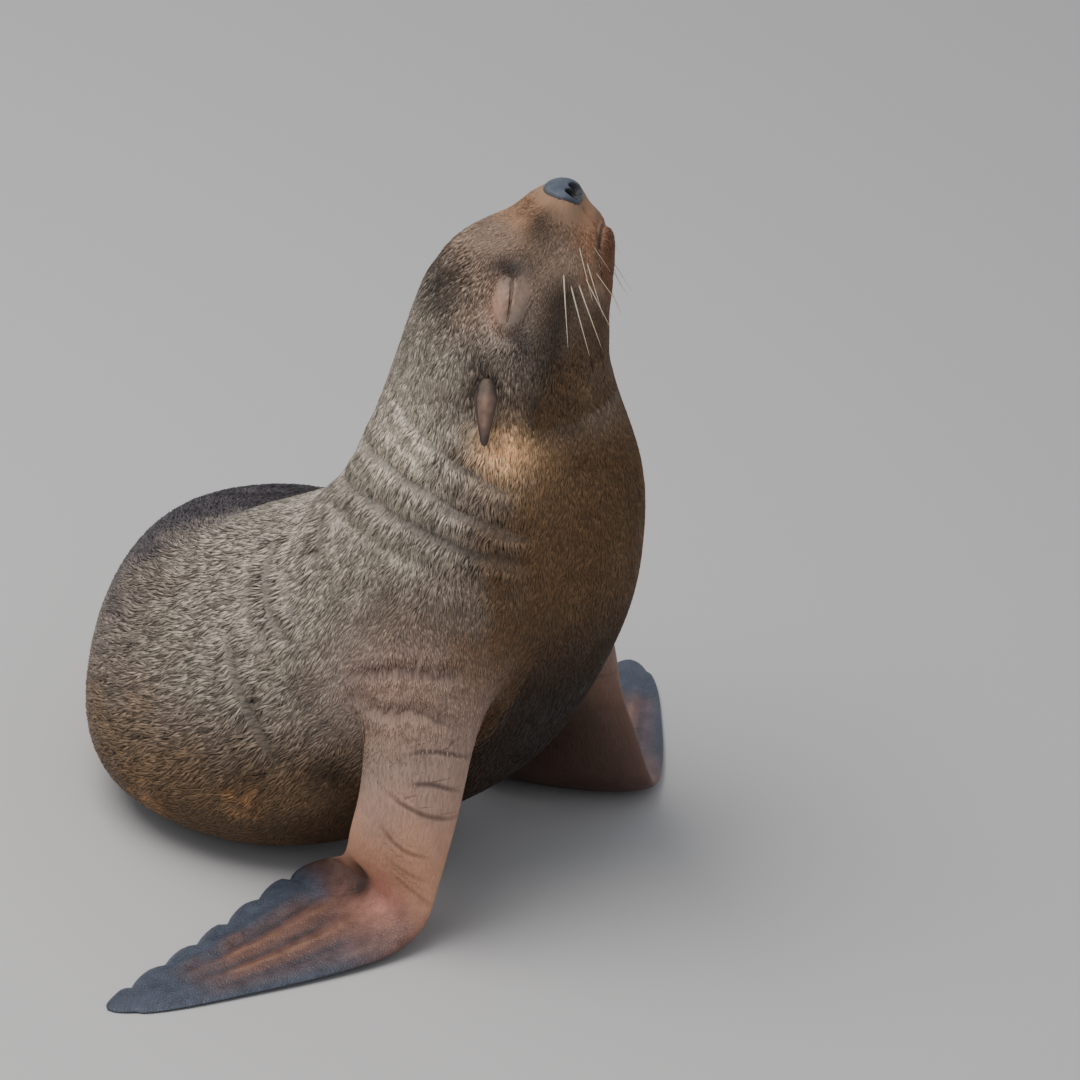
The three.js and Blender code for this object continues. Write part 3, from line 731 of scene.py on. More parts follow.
        fields += [
            (WRIST * 0.6,
             0.5 * here * ease(finger, 0.7, 1.0) * ease(far, 40, 80) * ease(-far, -230, -170)),
            (SLATE * 0.5,
             0.55 * here * ease(-finger, 0.35, 0.9) * ease(far, 50, 90) * ease(-far, -250, -190)),
            (SLATE, here * np.maximum(edge, ease(far + 10 * wave, 170, 250))),
            (SLATE * 0.8, here * ease(-z, -3, 0) * ease(-far, -290, -240)),
            # Painted shade in the pit at the wrist.
            (WET, 0.8 * here * bell(np.hypot(far - 28, back - 22), 12)),
        ]
    for paddle, which in ((RIGHT_FOOT, y > 330), (LEFT_FOOT, y <= 330)):
        far, over_foot = foot_places(points, paddle)
        here = in_foot * which
        rims = ease(np.abs(over_foot), 22, 40) * ease(far, 20, 60)
        slate = np.maximum(rims, ease(far + 6 * wave, 90, 140))
        fields.append((SLATE, here * ease(foot, 0.15, 0.4) * slate))
    # Painted shade: the colour darkens along every fold, where the crease holds shade.
    shaded_crease = np.zeros(len(points))
    for depth, width, line in FOLDS:
        gap, along_fold = from_line(points, line)
        shaded_crease += depth / 5 * bell(gap, 0.85 * width) * fold_fade(along_fold)
    colour = np.repeat(COAT[None], len(points), 0)
    for paint, mask in fields:
        mask = np.clip(mask, 0, 1)[:, None]
        colour = colour * (1 - mask) + paint * mask
    return colour * ((1 + 0.07 * wave + 0.06 * small) * (1 - 0.6 * np.clip(shaded_crease, 0, 1)))[:, None]


def put(mesh, name, kind, domain, values):
    """A named field on every element of a mesh, from a whole array."""
    field = {"FLOAT": "value", "FLOAT_VECTOR": "vector", "FLOAT_COLOR": "color"}[kind]
    values = np.asarray(values, np.float32).ravel()
    mesh.attributes.new(name, kind, domain).data.foreach_set(field, values)


def rgba(colours):
    """Colours with a fourth column of ones."""
    return np.column_stack([colours, np.ones(len(colours))])


def from_shoulder(points, y, z):
    """Distance from a place 150 mm out on the shoulder of each point's own side."""
    side = np.where(points[:, :1] < 0, -1, 1)
    return np.linalg.norm(points - side * [150, 0, 0] - [0, y, z], axis=1)


bare = np.maximum(ease(down_arm, 0.4, 0.56), ease(down_foot, 0.3, 0.6))
open_coat = np.maximum.reduce([
    ease(down_arm, 0.0, 0.25), ease(down_foot, 0.25, 0.5),
    0.6 * bell(from_shoulder(form, 55, 235), 70),
    0.75 * ease(head_places(form)[0], 25, 55) * (form[:, 2] > FACE_FLOOR),
])
lip_height, lip_forward = above_mouth(form)
lips = lip_height + 30 * ease(-lip_forward, -8, 6) + 30 * ease(-form[:, 2], -600, -560)
put(skin.data, "tint", "FLOAT_COLOR", "POINT", rgba(markings(form, place_on_map)))
put(skin.data, "bare", "FLOAT", "POINT", bare)
put(skin.data, "open", "FLOAT", "POINT", open_coat)
put(skin.data, "lips", "FLOAT", "POINT", lips)

# Creases of the arm and shoulder: sheets through three places that stand square to the skin. Each
# place has its distance from the nearest sheet, and how strong the crease is there; the skin's
# shader paints shade along them.
CREASES = [
    (1.0, (-171, 23, 214), (-166, -2, 218), (-155, -24, 210)),
    (1.0, (-179, 20, 183), (-175, 3, 185), (-165, -18, 178)),
    (0.9, (-184, 40, 166), (-182, 12, 155), (-169, -16, 149)),
    (0.7, (-189, 48, 129), (-187, 31, 115), (-183, 8, 107)),
    (0.9, (-152, 92, 275), (-152, 46, 294), (-140, -10, 297)),
    (0.5, (-153, 80, 266), (-155, 46, 284), (-146, 0, 288)),
    (0.6, (-158, 94, 228), (-160, 43, 256), (-156, -10, 240)),
    (0.45, (-182, 42, 78), (-179, 25, 65), (-174, 6, 50)),
    (0.4, (-186, 46, 98), (-184, 30, 88), (-178, 8, 78)),
]
crease_gap, crease_depth = np.full(len(form), 60.0), np.zeros(len(form))
mirrored = np.where(form[:, :1] > 0, form * [-1, 1, 1] + [0, 22, 0], form)
for strength, start, bow, end in CREASES:
    start, bow, end = (np.array(n, float) for n in (start, bow, end))
    middle = (start + end) / 2
    length = np.linalg.norm(end - start)
    line = (end - start) / length
    outward = unit(across(np.array([-1.0, -0.25, 0.1]), line))
    square = np.cross(line, outward)
    along_crease = (mirrored - middle) @ line / length * 2
    gap = (mirrored - middle) @ square - (bow - middle) @ square * (1 - along_crease ** 2)
    reach = (
        ease(-np.abs(along_crease), -1.5, -0.5)
        * ease(-np.abs((mirrored - middle) @ outward), -60, -35) * ease(-np.abs(gap), -12, -6)
    )
    nearer = (np.abs(gap) < np.abs(crease_gap)) & (reach > 0)
    crease_depth = np.where(nearer, strength * reach, crease_depth)
    crease_gap = np.where(nearer, gap, crease_gap)
put(skin.data, "crease_gap", "FLOAT", "POINT", crease_gap)
put(skin.data, "crease_depth", "FLOAT", "POINT", crease_depth)

# The lie of the coat as lengths: across the body, and from the nose along it.
corner_arm, corner_foot, on_arm, on_foot = down_limb(flat_map)
limb_turn = (flat_map[:, 0] - 0.66) / 0.15
turn = 2 * np.pi * np.where(on_arm | on_foot, limb_turn, flat_map[:, 0] / MAP_WIDE)
girth = np.where(on_arm, 55, np.where(on_foot, 40, 150))
row_gaps = np.linalg.norm(np.diff(BODY_CAGE.mean(1), axis=0), axis=1)
row_place = np.concatenate([[0], np.cumsum(row_gaps)])
down_body = np.interp(body_row(flat_map[:, 1]), np.arange(ROWS), row_place)
down_all = np.where(on_arm, 560 * corner_arm, np.where(on_foot, 240 * corner_foot, down_body))
put(skin.data, "lie", "FLOAT_VECTOR", "CORNER",
    np.stack([girth * np.cos(turn), girth * np.sin(turn), down_all], -1) / 1000)


def material(name):
    """A material with nodes, its tree and its shader."""
    made = bpy.data.materials.new(name)
    made.use_nodes = True
    return made, made.node_tree, made.node_tree.nodes["Principled BSDF"]


def node(tree, kind, settings=None, **links):
    """One node: its settings, and each input by name, from a socket or a plain value."""
    made = tree.nodes.new(kind)
    for key, value in (settings or {}).items():
        setattr(made, key, value)
    for key, value in links.items():
        socket = made.inputs[int(key[1:]) if key[1:].isdigit() else key.replace("_", " ")]
        if isinstance(value, bpy.types.NodeSocket):
            tree.links.new(value, socket)
        else:
            socket.default_value = value
    return made


def group(name, inputs, outputs):
    """A shader node group with named sockets, its tree, and its two end nodes."""
    tree = bpy.data.node_groups.new(name, "ShaderNodeTree")
    for label, kind, value in inputs:
        socket = tree.interface.new_socket(label, in_out="INPUT", socket_type=kind)
        if value is not None:
            socket.default_value = value
    for label, kind in outputs:
        tree.interface.new_socket(label, in_out="OUTPUT", socket_type=kind)
    return tree, tree.nodes.new("NodeGroupInput"), tree.nodes.new("NodeGroupOutput")


def math_node(tree, operation, first, second, third=0.0):
    """One step of arithmetic on two or three values."""
    settings = {"operation": operation}
    return node(tree, "ShaderNodeMath", settings, _0=first, _1=second, _2=third).outputs[0]


def vector_node(tree, operation, first, second, third=(0.0, 0.0, 0.0)):
    """One step of arithmetic on two or three vectors."""
    settings = {"operation": operation}
    return node(tree, "ShaderNodeVectorMath", settings, _0=first, _1=second, _2=third).outputs[0]


def noise(tree, place, scale, detail, roughness=0.5):
    """Noise of several octaves at a place."""
    return node(
        tree, "ShaderNodeTexNoise", Vector=place, Scale=scale, Detail=detail, Roughness=roughness,
    )


def spread(tree, value, before, after=(0.0, 1.0), smooth=False):
    """A value carried from one range to another and held at its ends, evenly or smoothly."""
    settings = {"interpolation_type": "SMOOTHSTEP" if smooth else "LINEAR"}
    return node(
        tree, "ShaderNodeMapRange", settings, Value=value,
        From_Min=before[0], From_Max=before[1], To_Min=after[0], To_Max=after[1],
    ).outputs[0]


def from_mesh(tree, name, output="Fac"):
    """A named field of the mesh."""
    return node(tree, "ShaderNodeAttribute", {"attribute_name": name}).outputs[output]


# Strands: noise drawn out along the lie of the coat, bent by a broad noise.
FLOAT, VECTOR = "NodeSocketFloat", "NodeSocketVector"
strands, given, put_out = group(
    "strands", [("Lie", VECTOR, None), ("Across", FLOAT, 620.0), ("Along", FLOAT, 85.0)],
    [("Light", FLOAT), ("Height", FLOAT)],
)
lie = given.outputs["Lie"]
bend = noise(strands, lie, 42.0, 1.0).outputs["Color"]
centred = vector_node(strands, "SUBTRACT", bend, (0.5, 0.5, 0.5))
swept = vector_node(strands, "MULTIPLY_ADD", centred, (0.013, 0.013, 0.006), lie)
wide, long = given.outputs["Across"], given.outputs["Along"]
scales = node(strands, "ShaderNodeCombineXYZ", X=wide, Y=wide, Z=long).outputs[0]
drawn = vector_node(strands, "MULTIPLY", swept, scales)
hair = noise(strands, drawn, 1.0, 2.5, 0.6).outputs["Fac"]
light_hair = spread(strands, hair, (0.34, 0.66), smooth=True)
strands.links.new(light_hair, put_out.inputs["Light"])
strands.links.new(hair, put_out.inputs["Height"])

# Grain: fine crazed cells with soft mottling, as on bare flipper skin.
grain, given, put_out = group(
    "grain", [("Place", VECTOR, None), ("Cells", FLOAT, 320.0)],
    [("Light", FLOAT), ("Height", FLOAT)],
)
crazed = node(
    grain, "ShaderNodeTexVoronoi", {"feature": "DISTANCE_TO_EDGE"},
    Vector=given.outputs["Place"], Scale=given.outputs["Cells"],
)
furrow = spread(grain, crazed.outputs["Distance"], (0.0, 0.22), smooth=True)
mottle = noise(grain, given.outputs["Place"], 75.0, 5.0, 0.65).outputs["Fac"]
height = math_node(grain, "MULTIPLY_ADD", mottle, 1.6, furrow)
grain.links.new(mottle, put_out.inputs["Light"])
grain.links.new(height, put_out.inputs["Height"])


def placed(tree, effect, **links):
    """A group node of an effect, with its inputs."""
    return node(tree, "ShaderNodeGroup", {"node_tree": effect}, **links)


def shade(tree, colour, amount):
    """A colour times a varying amount."""
    settings = {"operation": "SCALE"}
    return node(tree, "ShaderNodeVectorMath", settings, _0=colour, Scale=amount).outputs[0]


def blend(tree, share, first, second):
    """The first value, going over to the second as the share goes from 0 to 1."""
    settings = {"data_type": "FLOAT"}
    made = node(tree, "ShaderNodeMix", settings, Factor=share, A=first, B=second)
    return made.outputs["Result"]


skin_look, tree, shader = material("damp skin and flat fur")
bare_share = from_mesh(tree, "bare")
place = node(tree, "ShaderNodeTexCoord").outputs["Object"]
fur = placed(tree, strands, Lie=from_mesh(tree, "lie", "Vector"))
leather = placed(tree, grain, Place=place)
# Painted shade: the skin is darker where the coat covers it, standing in for the shade among the
# tufts.
shade_under_coat = spread(tree, fur.outputs["Light"], (0.0, 1.0), (0.35, 0.85))
open_light = spread(tree, fur.outputs["Light"], (0.0, 1.0), (0.86, 1.1))
fur_light = blend(tree, from_mesh(tree, "open"), shade_under_coat, open_light)
leather_light = spread(tree, leather.outputs["Light"], (0.3, 0.7), (0.72, 1.28))
light = blend(tree, bare_share, fur_light, leather_light)
# Painted shade in the gap between the lips.
lip_line = math_node(tree, "ABSOLUTE", from_mesh(tree, "lips"), 0.0)
lip_gap_shade = spread(tree, lip_line, (0.5, 2.6), (0.18, 1.0), True)
wander = noise(tree, place, 45.0, 2.0).outputs["Fac"]
# Painted shade along the creases of the arm and shoulder: the skin darkens near each crease sheet,
# and its bump dips there too.
from_crease = math_node(tree, "ADD", from_mesh(tree, "crease_gap"), -2.0)
from_crease = math_node(tree, "MULTIPLY_ADD", wander, 4.0, from_crease)
from_crease = math_node(tree, "ABSOLUTE", from_crease, 0.0)
shaded_crease = spread(tree, from_crease, (0.0, 4.8), (1.0, 0.0), True)
shaded_crease = math_node(tree, "MULTIPLY", shaded_crease, from_mesh(tree, "crease_depth"))
light = math_node(tree, "MULTIPLY", light, math_node(tree, "MULTIPLY_ADD", shaded_crease, -0.62, 1.0))
light = math_node(tree, "MULTIPLY", light, lip_gap_shade)
tree.links.new(shade(tree, from_mesh(tree, "tint", "Color"), light), shader.inputs["Base Color"])
rough_fur = math_node(tree, "MULTIPLY_ADD", fur.outputs["Light"], 0.15, 0.5)
rough_leather = math_node(tree, "MULTIPLY_ADD", leather.outputs["Light"], 0.35, 0.25)
tree.links.new(blend(tree, bare_share, rough_fur, rough_leather), shader.inputs["Roughness"])
leather_relief = math_node(tree, "MULTIPLY", leather.outputs["Height"], 0.4)
relief = blend(tree, bare_share, fur.outputs["Height"], leather_relief)
relief = math_node(tree, "MULTIPLY_ADD", shaded_crease, -1.6, relief)
bump = node(tree, "ShaderNodeBump", Strength=0.6, Distance=0.0016, Height=relief)
tree.links.new(bump.outputs[0], shader.inputs["Normal"])
shader.inputs["Specular IOR Level"].default_value = 0.4
skin.data.materials.clear()
skin.data.materials.append(skin_look)
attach(skin, "root")
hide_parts(*FLESH)

# ---- the guard hair ------------------------------------------------------------------
# Damp guard hair lies flat and clings together in thin tufts, all pointing tailwards. Each
# tuft is a closed spike of six faces, rooted in the skin and lifted a little at its tip.
triangle_points = read(skin.data, skin.data.loop_triangles, "vertices", 3).astype(int)
triangle_loops = read(skin.data, skin.data.loop_triangles, "loops", 3).astype(int)
normal = read(skin.data, skin.data.vertex_normals, "vector", 3)
P, T = form[triangle_points], flat_map[triangle_loops]
edge_one, edge_two = P[:, 1] - P[:, 0], P[:, 2] - P[:, 0]
map_one, map_two = T[:, 1] - T[:, 0], T[:, 2] - T[:, 0]
turned = map_one[:, :1] * map_two[:, 1:] - map_two[:, :1] * map_one[:, 1:]
downward = (map_one[:, :1] * edge_two - map_two[:, :1] * edge_one) * np.sign(turned)
area = np.linalg.norm(np.cross(edge_one, edge_two), axis=1) / 2
flow = np.zeros_like(form)
for corner in range(3):
    np.add.at(flow, triangle_points[:, corner], unit(downward + 1e-12))
flow = unit(across(unit(flow + 1e-12) - [0, 0, 0.45], normal) + 1e-9)
middle_place = T.mean(1)
middle_point = P.mean(1)
face_along, _, face_left = head_places(middle_point)
tri_arm, tri_foot, tri_in_arm, tri_in_foot = down_limb(middle_place)
LIMB_ROW = 40
tri_row = np.where(tri_in_arm | tri_in_foot, LIMB_ROW, body_row(middle_place[:, 1]))
tri_lid = np.hypot(*lid_places(middle_point)) / ease(np.abs(face_left), 20, 50).clip(0.01)
bald = np.maximum.reduce([
    ease(tri_arm, 0.02, 0.16), ease(tri_foot, 0.2, 0.5),
    ease(face_along, 86, 104) * (middle_point[:, 2] > FACE_FLOOR),
    ease(-tri_lid, -1.2, -0.7), 0.5 * (tri_row < 7),
])

# length, width, height, tip lift, contrast
FACE_HAIR = (6.5, 1.2, 0.25, 0.35, 0.2)
CROWN_HAIR = (13.0, 2.4, 0.9, 1.6, 1.5)
NECK_HAIR = (15.0, 2.6, 0.9, 1.7, 1.25)
BACK_HAIR = (17.0, 2.8, 0.9, 1.8, 1.25)
CHEST_HAIR = (11.0, 1.8, 0.4, 0.7, 0.35)
LIMB_HAIR = (7.0, 1.4, 0.25, 0.4, 0.25)


def hair_sizes(points, place):
    """Length, width, height, tip lift and contrast: a blend from face to neck to back, and
    shorter on the chest, the shoulder and down the limbs."""
    arm, foot, in_arm, in_foot = down_limb(place)
    row = np.where(in_arm | in_foot, 16, body_row(place[:, 1]))
    up = np.where(in_arm | in_foot, 0, np.cos(body_turn(place[:, 0])))
    sizes = np.repeat(np.array([BACK_HAIR]), len(points), 0)
    for hair, mask in (
        (NECK_HAIR, ease(-row, -15, -12)),
        (CROWN_HAIR, ease(-row, -9.8, -8.5)),
        (FACE_HAIR, ease(-row, -9.5, -6.5) * ease(-up, -0.62, -0.25)),
        (FACE_HAIR, ease(-row, -6.8, -5.2)),
        (CHEST_HAIR, ease(-up, 0.1, 0.6) * ease(row, 8, 10)),
        (CHEST_HAIR, in_arm | in_foot),
        (CHEST_HAIR, bell(from_shoulder(points, 60, 290), 85)),
        (LIMB_HAIR, 0.8 * bell(from_shoulder(points, 55, 245), 70)),
        (LIMB_HAIR, np.maximum(ease(arm, 0.0, 0.12), ease(foot, 0.0, 0.2))),
        (LIMB_HAIR, ease(-row, -5, -3)),
    ):
        mask = np.clip(mask, 0, 1)[:, None]
        sizes = sizes * (1 - mask) + np.array(hair) * mask
    return sizes.T


# A spike: along, across and up for its root, its two sides, its back and its tip.
SPIKE = np.array([
    [0, 0, -0.4], [0.36, 0.5, -0.05], [0.36, -0.5, -0.05], [0.42, 0, 1.0], [1.0, 0, 0.0],
])
SPIKE_MAP = np.array([[0, -0.5], [-0.5, 0], [0.5, 0], [0, 0.05], [0, 0.5]]) * 0.003
SPIKE_FACES = np.array([[0, 3, 1], [0, 2, 3], [4, 1, 3], [4, 3, 2], [0, 1, 2], [4, 2, 1]])


def tufts(name, weight, count, seed):
    """Closed spikes rooted at seeded places spread evenly by area times weight. Each lies along
    the flow of the coat, turned by soft noise, and the side is the flow crossed with the normal."""
    draws = np.random.default_rng(seed)
    total = np.cumsum(area * weight)
    chosen = np.searchsorted(total, (np.arange(count) + draws.random(count)) / count * total[-1])
    one, two = draws.random((2, count))
    one = np.sqrt(one)
    share = np.stack([1 - one, one * (1 - two), one * two], -1)

    def mixed(values):
        return np.einsum("nk,nkd->nd", share, values)

    root = mixed(P[chosen])
    place = mixed(T[chosen])
    out = unit(mixed(normal[triangle_points[chosen]]))
    ahead = unit(across(mixed(flow[triangle_points[chosen]]), out))
    beside = np.cross(out, ahead)
    sway = 0.30 * ripple(root, 34, 11) + 0.16 * ripple(root, 15, 12) + draws.normal(0, 0.13, count)
    ahead = unit(ahead + beside * sway[:, None])
    beside = np.cross(out, ahead)
    length, width, height, lift, contrast = hair_sizes(root, place)
    grow = draws.uniform(0.75, 1.25, count)
    forth, aside, raised = SPIKE.T
    bow = draws.normal(0, 0.08, count)
    reach = forth * (length * grow)[:, None]
    swing = aside * width[:, None] + (bow * length)[:, None] * forth ** 2
    rise = raised * height[:, None] + forth ** 2 * (lift * grow)[:, None]
    points = (
        root[:, None] + ahead[:, None] * reach[..., None]
        + beside[:, None] * swing[..., None] + out[:, None] * rise[..., None]
    )
    points[..., 2] = np.maximum(points[..., 2], 0.3)
    # Each tuft's brightness is partly random tone and partly painted shine, the light caught by
    # damp clumps.
    clump = ripple(root, 9, 21) * 0.5 + ripple(root, 26, 22) * 0.35
    painted_shine_and_tone = np.clip(0.5 + contrast * (0.2 * clump + draws.normal(0, 0.24, count)), 0, 1)
    mesh = bpy.data.meshes.new(name)
    corners = len(SPIKE)
    mesh.vertices.add(count * corners)
    mesh.vertices.foreach_set("co", in_frame(points).astype(np.float32).ravel())
    faces = (SPIKE_FACES + corners * np.arange(count)[:, None, None]).reshape(-1, 3)
    mesh.loops.add(faces.size)
    mesh.loops.foreach_set("vertex_index", faces.ravel().astype(np.int32))
    mesh.polygons.add(len(faces))
    mesh.polygons.foreach_set("loop_start", np.arange(0, faces.size, 3, dtype=np.int32))
    mesh.polygons.foreach_set("use_smooth", np.ones(len(faces), bool))
    mesh.update(calc_edges=True)
    patch = (place[:, None] + SPIKE_MAP[None]).reshape(-1, 2)[faces.ravel()]
    mesh.uv_layers.new(name="OFBake").data.foreach_set("uv", patch.astype(np.float32).ravel())
    tints = np.repeat(markings(root, place), corners, 0)
    put(mesh, "tint", "FLOAT_COLOR", "POINT", rgba(tints))
    put(mesh, "painted_shine_and_tone", "FLOAT", "POINT", np.repeat(painted_shine_and_tone, corners))
    put(mesh, "tip", "FLOAT", "POINT", np.tile(SPIKE[:, 0], count))
    piece = bpy.data.objects.new(name, mesh)
    bpy.context.scene.collection.objects.link(piece)
    piece.data.materials.append(hair_look)
    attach(piece, "root")


hair_look, tree, shader = material("damp guard hair")
painted_shine_and_tone = from_mesh(tree, "painted_shine_and_tone")
place = node(tree, "ShaderNodeTexCoord").outputs["Object"]
mottled = placed(tree, grain, Place=place).outputs["Light"]
by_tuft = spread(tree, painted_shine_and_tone, (0.0, 1.0), (0.4, 1.8))
# Each tuft is darker at its root, painted shade down in the coat, and lighter at its tip.
by_tip = spread(tree, from_mesh(tree, "tip"), (0.0, 1.0), (0.75, 1.2))
by_place = spread(tree, mottled, (0.3, 0.7), (0.88, 1.12))
light = math_node(tree, "MULTIPLY", by_tuft, math_node(tree, "MULTIPLY", by_tip, by_place))
tree.links.new(shade(tree, from_mesh(tree, "tint", "Color"), light), shader.inputs["Base Color"])
tree.links.new(math_node(tree, "MULTIPLY_ADD", painted_shine_and_tone, -0.14, 0.62), shader.inputs["Roughness"])
shader.inputs["Specular IOR Level"].default_value = 0.35

FULL_SHARE = 33000
furry = 1 - bald
on_side = furry * (tri_row >= 15) * (tri_row < 36)
on_right = middle_place[:, 0] > MAP_WIDE / 2
tufts("hair_head", furry * (tri_row < 10.5) * (1 + 0.6 * (tri_row < 8)), FULL_SHARE, 31)
tufts("hair_neck", furry * (tri_row >= 10.5) * (tri_row < 15), FULL_SHARE, 32)
tufts("hair_right_side", on_side * on_right, FULL_SHARE, 33)
tufts("hair_left_side", on_side * ~on_right, FULL_SHARE, 34)
tufts("hair_limbs", furry * (tri_row >= 36), 14000, 35)

# ---- eyelids -------------------------------------------------------------------------
# The eyes are shut. Two thick bare lids close on a slit that slants down from the muzzle, and they
# swell a little over the eyeball. The slit is painted dark, partly as the lids' dark wet edge and
# partly as painted shade in the gap.


def reach_skin(starts, ways, centre, within):
    """Where rays meet the skin farthest out: each ray's crossing with each triangle near the
    centre comes from Cramer's rule, and counts where it lies inside the triangle."""
    near = np.linalg.norm(middle_point - centre, axis=1) < within
    corner, one, two = P[near, 0], edge_one[near], edge_two[near]
    far = np.zeros(len(starts))
    for block in np.array_split(np.arange(len(starts)), len(starts) // 200 + 1):
        o, d = starts[block][:, None], ways[block][:, None]
        side = np.cross(d, two)
        size = np.sum(side * one, -1)
        size = np.where(np.abs(size) < 1e-9, 1e-9, size)
        from_corner = o - corner
        u = np.sum(from_corner * side, -1) / size
        turned_over = np.cross(from_corner, one)
        v = np.sum(turned_over * d, -1) / size
        t = np.sum(turned_over * two, -1) / size
        inside = (u > -1e-3) & (v > -1e-3) & (u + v < 1.001) & (t > 0)
        far[block] = np.where(inside, t, 0).max(1)
    return far


def disc(count):
    """A square grid drawn onto a disc, each way times the root of one less half the other's
    square, crowded towards its middle line, with its quads."""
    line = np.linspace(-1, 1, count)
    s, t = np.meshgrid(line, np.sign(line) * np.abs(line) ** 1.5, indexing="ij")
    places = np.stack([s * np.sqrt(1 - t ** 2 / 2), t * np.sqrt(1 - s ** 2 / 2)], -1).reshape(-1, 2)
    k = np.arange(count * count).reshape(count, count)
    quads = np.stack([k[:-1, :-1], k[1:, :-1], k[1:, 1:], k[:-1, 1:]], -1).reshape(-1, 4)
    return places.T, quads


def closed(points, quads, count, inward, turned):
    """A draped patch with a back: the same grid pushed inwards, and a wall round the rim. The
    faces are turned over where the grid runs the other way round."""
    k = np.arange(count * count).reshape(count, count)
    rim_line = np.concatenate([k[:-1, 0], k[-1, :-1], k[:0:-1, -1], k[0, :0:-1]])
    after = np.roll(rim_line, -1)
    wall = np.stack([rim_line, rim_line + count ** 2, after + count ** 2, after], -1)
    faces = np.vstack([quads, quads[:, ::-1] + count ** 2, wall])
    return np.vstack([points, points + inward]), faces[:, ::-1] if turned else faces


LID_GRID = 57
NO_SLIT = 9.0
bare_look, tree, shader = material("bare damp skin")
place = node(tree, "ShaderNodeTexCoord").outputs["Object"]
pores = placed(tree, grain, Place=place, Cells=700.0)
light = spread(tree, pores.outputs["Light"], (0.3, 0.7), (0.8, 1.2))
# Painted shade: the colour goes nearly black along the slit between the lids.
slit = math_node(tree, "ABSOLUTE", from_mesh(tree, "slit"), 0.0)
light = math_node(tree, "MULTIPLY", light, spread(tree, slit, (0.7, 2.3), (0.06, 1.0), True))
tree.links.new(shade(tree, from_mesh(tree, "tint", "Color"), light), shader.inputs["Base Color"])
tree.links.new(blend(tree, from_mesh(tree, "wet"), 0.55, 0.22), shader.inputs["Roughness"])
bump = node(tree, "ShaderNodeBump", Strength=0.35, Distance=0.0006, Height=pores.outputs["Height"])
tree.links.new(bump.outputs[0], shader.inputs["Normal"])

for side, label in ((-1, "right"), (1, "left")):
    (s, t), quads = disc(LID_GRID)
    along, over = 1.4 * s, 1.45 * t
    c, sn = math.cos(LID_SLOPE), math.sin(LID_SLOPE)
    a = LID_PLACE[0] + along * LID_HALF[0] * c - over * LID_HALF[1] * sn
    b = LID_PLACE[1] + along * LID_HALF[0] * sn + over * LID_HALF[1] * c
    inner = in_head(a, b, 0 * a)
    ways = np.repeat(side * HEAD_LEFT[None], len(a), 0)
    far = reach_skin(inner, ways, in_head(LID_PLACE[0], LID_PLACE[1], side * 70.0), 56)
    edge = np.hypot(s, t)
    curve = over - 0.14 * (along ** 2 - 0.3)
    from_middle = np.abs(along + 0.02)
    shut_line = bell(curve, 0.05 + 0.03 * ease(along, -0.4, 0.6)) * ease(-from_middle, -0.9, -0.74)
    upper = bell(np.hypot(along + 0.2, (curve - 0.5) / 0.9), 0.6)
    lower = bell(np.hypot(along - 0.1, (curve + 0.35) / 0.7), 0.5)
    upper_crease = bell(np.hypot(along, curve - 0.4) - 1.05, 0.08) * (curve > 0)
    inner_corner = bell(np.hypot((along - 1.2) / 0.6, (over - 0.3) / 1.6), 0.6)
    raised = (
        -0.7 + 1.0 * ease(-edge, -1.0, -0.75) + 2.6 * upper + 0.8 * lower
        - 0.5 * upper_crease - 1.6 * inner_corner - 3.8 * shut_line
    )
    lids = inner + ways * (far + raised)[:, None]
    lid_map = [MAP_WIDE / 2 + side * 0.155, 0.212]
    colour = markings(inner + ways * far[:, None], np.tile(lid_map, (len(a), 1)))
    # The slit is painted towards a dark wet colour: the lids' wet edge and painted shade in the
    # gap.
    dark = 0.5 * shut_line[:, None]
    worn = 1 + 0.12 * ripple(lids, 7, 61)[:, None] + 0.08 * ripple(lids, 3, 62)[:, None]
    # Painted shade: the lids are dimmed all over and more towards their rim, to match the shade
    # among the hair round them.
    colour = colour * worn * (0.92 - 0.2 * ease(edge, 0.6, 1.0))[:, None]
    colour = colour * (1 - dark) + WET * 0.35 * dark
    points, faces = closed(lids, quads, LID_GRID, -side * 3.0 * HEAD_LEFT, side > 0)
    eyelid = mesh_piece("eyelids_" + label, in_frame(points), faces.tolist())
    put(eyelid.data, "tint", "FLOAT_COLOR", "POINT", rgba(np.vstack([colour, colour])))
    tear = bell(np.hypot((along - 0.95) / 0.75, (over - 0.15) / 0.8), 0.6)
    shiny = np.clip(shut_line + 0.7 * tear, 0, 1)
    put(eyelid.data, "wet", "FLOAT", "POINT", np.tile(shiny, 2))
    slit = np.abs(curve) * LID_HALF[1] / (0.6 + 0.5 * ease(along, -0.6, 0.5))
    slit += NO_SLIT * ease(from_middle, 0.72, 0.9)
    put(eyelid.data, "slit", "FLOAT", "POINT", np.tile(np.where(curve < 0, -slit, slit), 2))
    eyelid.data.materials.append(bare_look)
    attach(eyelid, "root")
    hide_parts("eyelid_" + label)

# ---- nose pad ------------------------------------------------------------------------
# A bare slate pad caps the muzzle. Two open nostrils slant up and outwards through it, and
# a groove runs down between them.
NOSE_GRID = 81
NOSE_ROOT = (78.0, 9.0)
NOSE_LIFT, NOSE_TALL, NOSE_WIDE, NOSE_FLARE = 0.04, 0.70, 0.64, 0.12


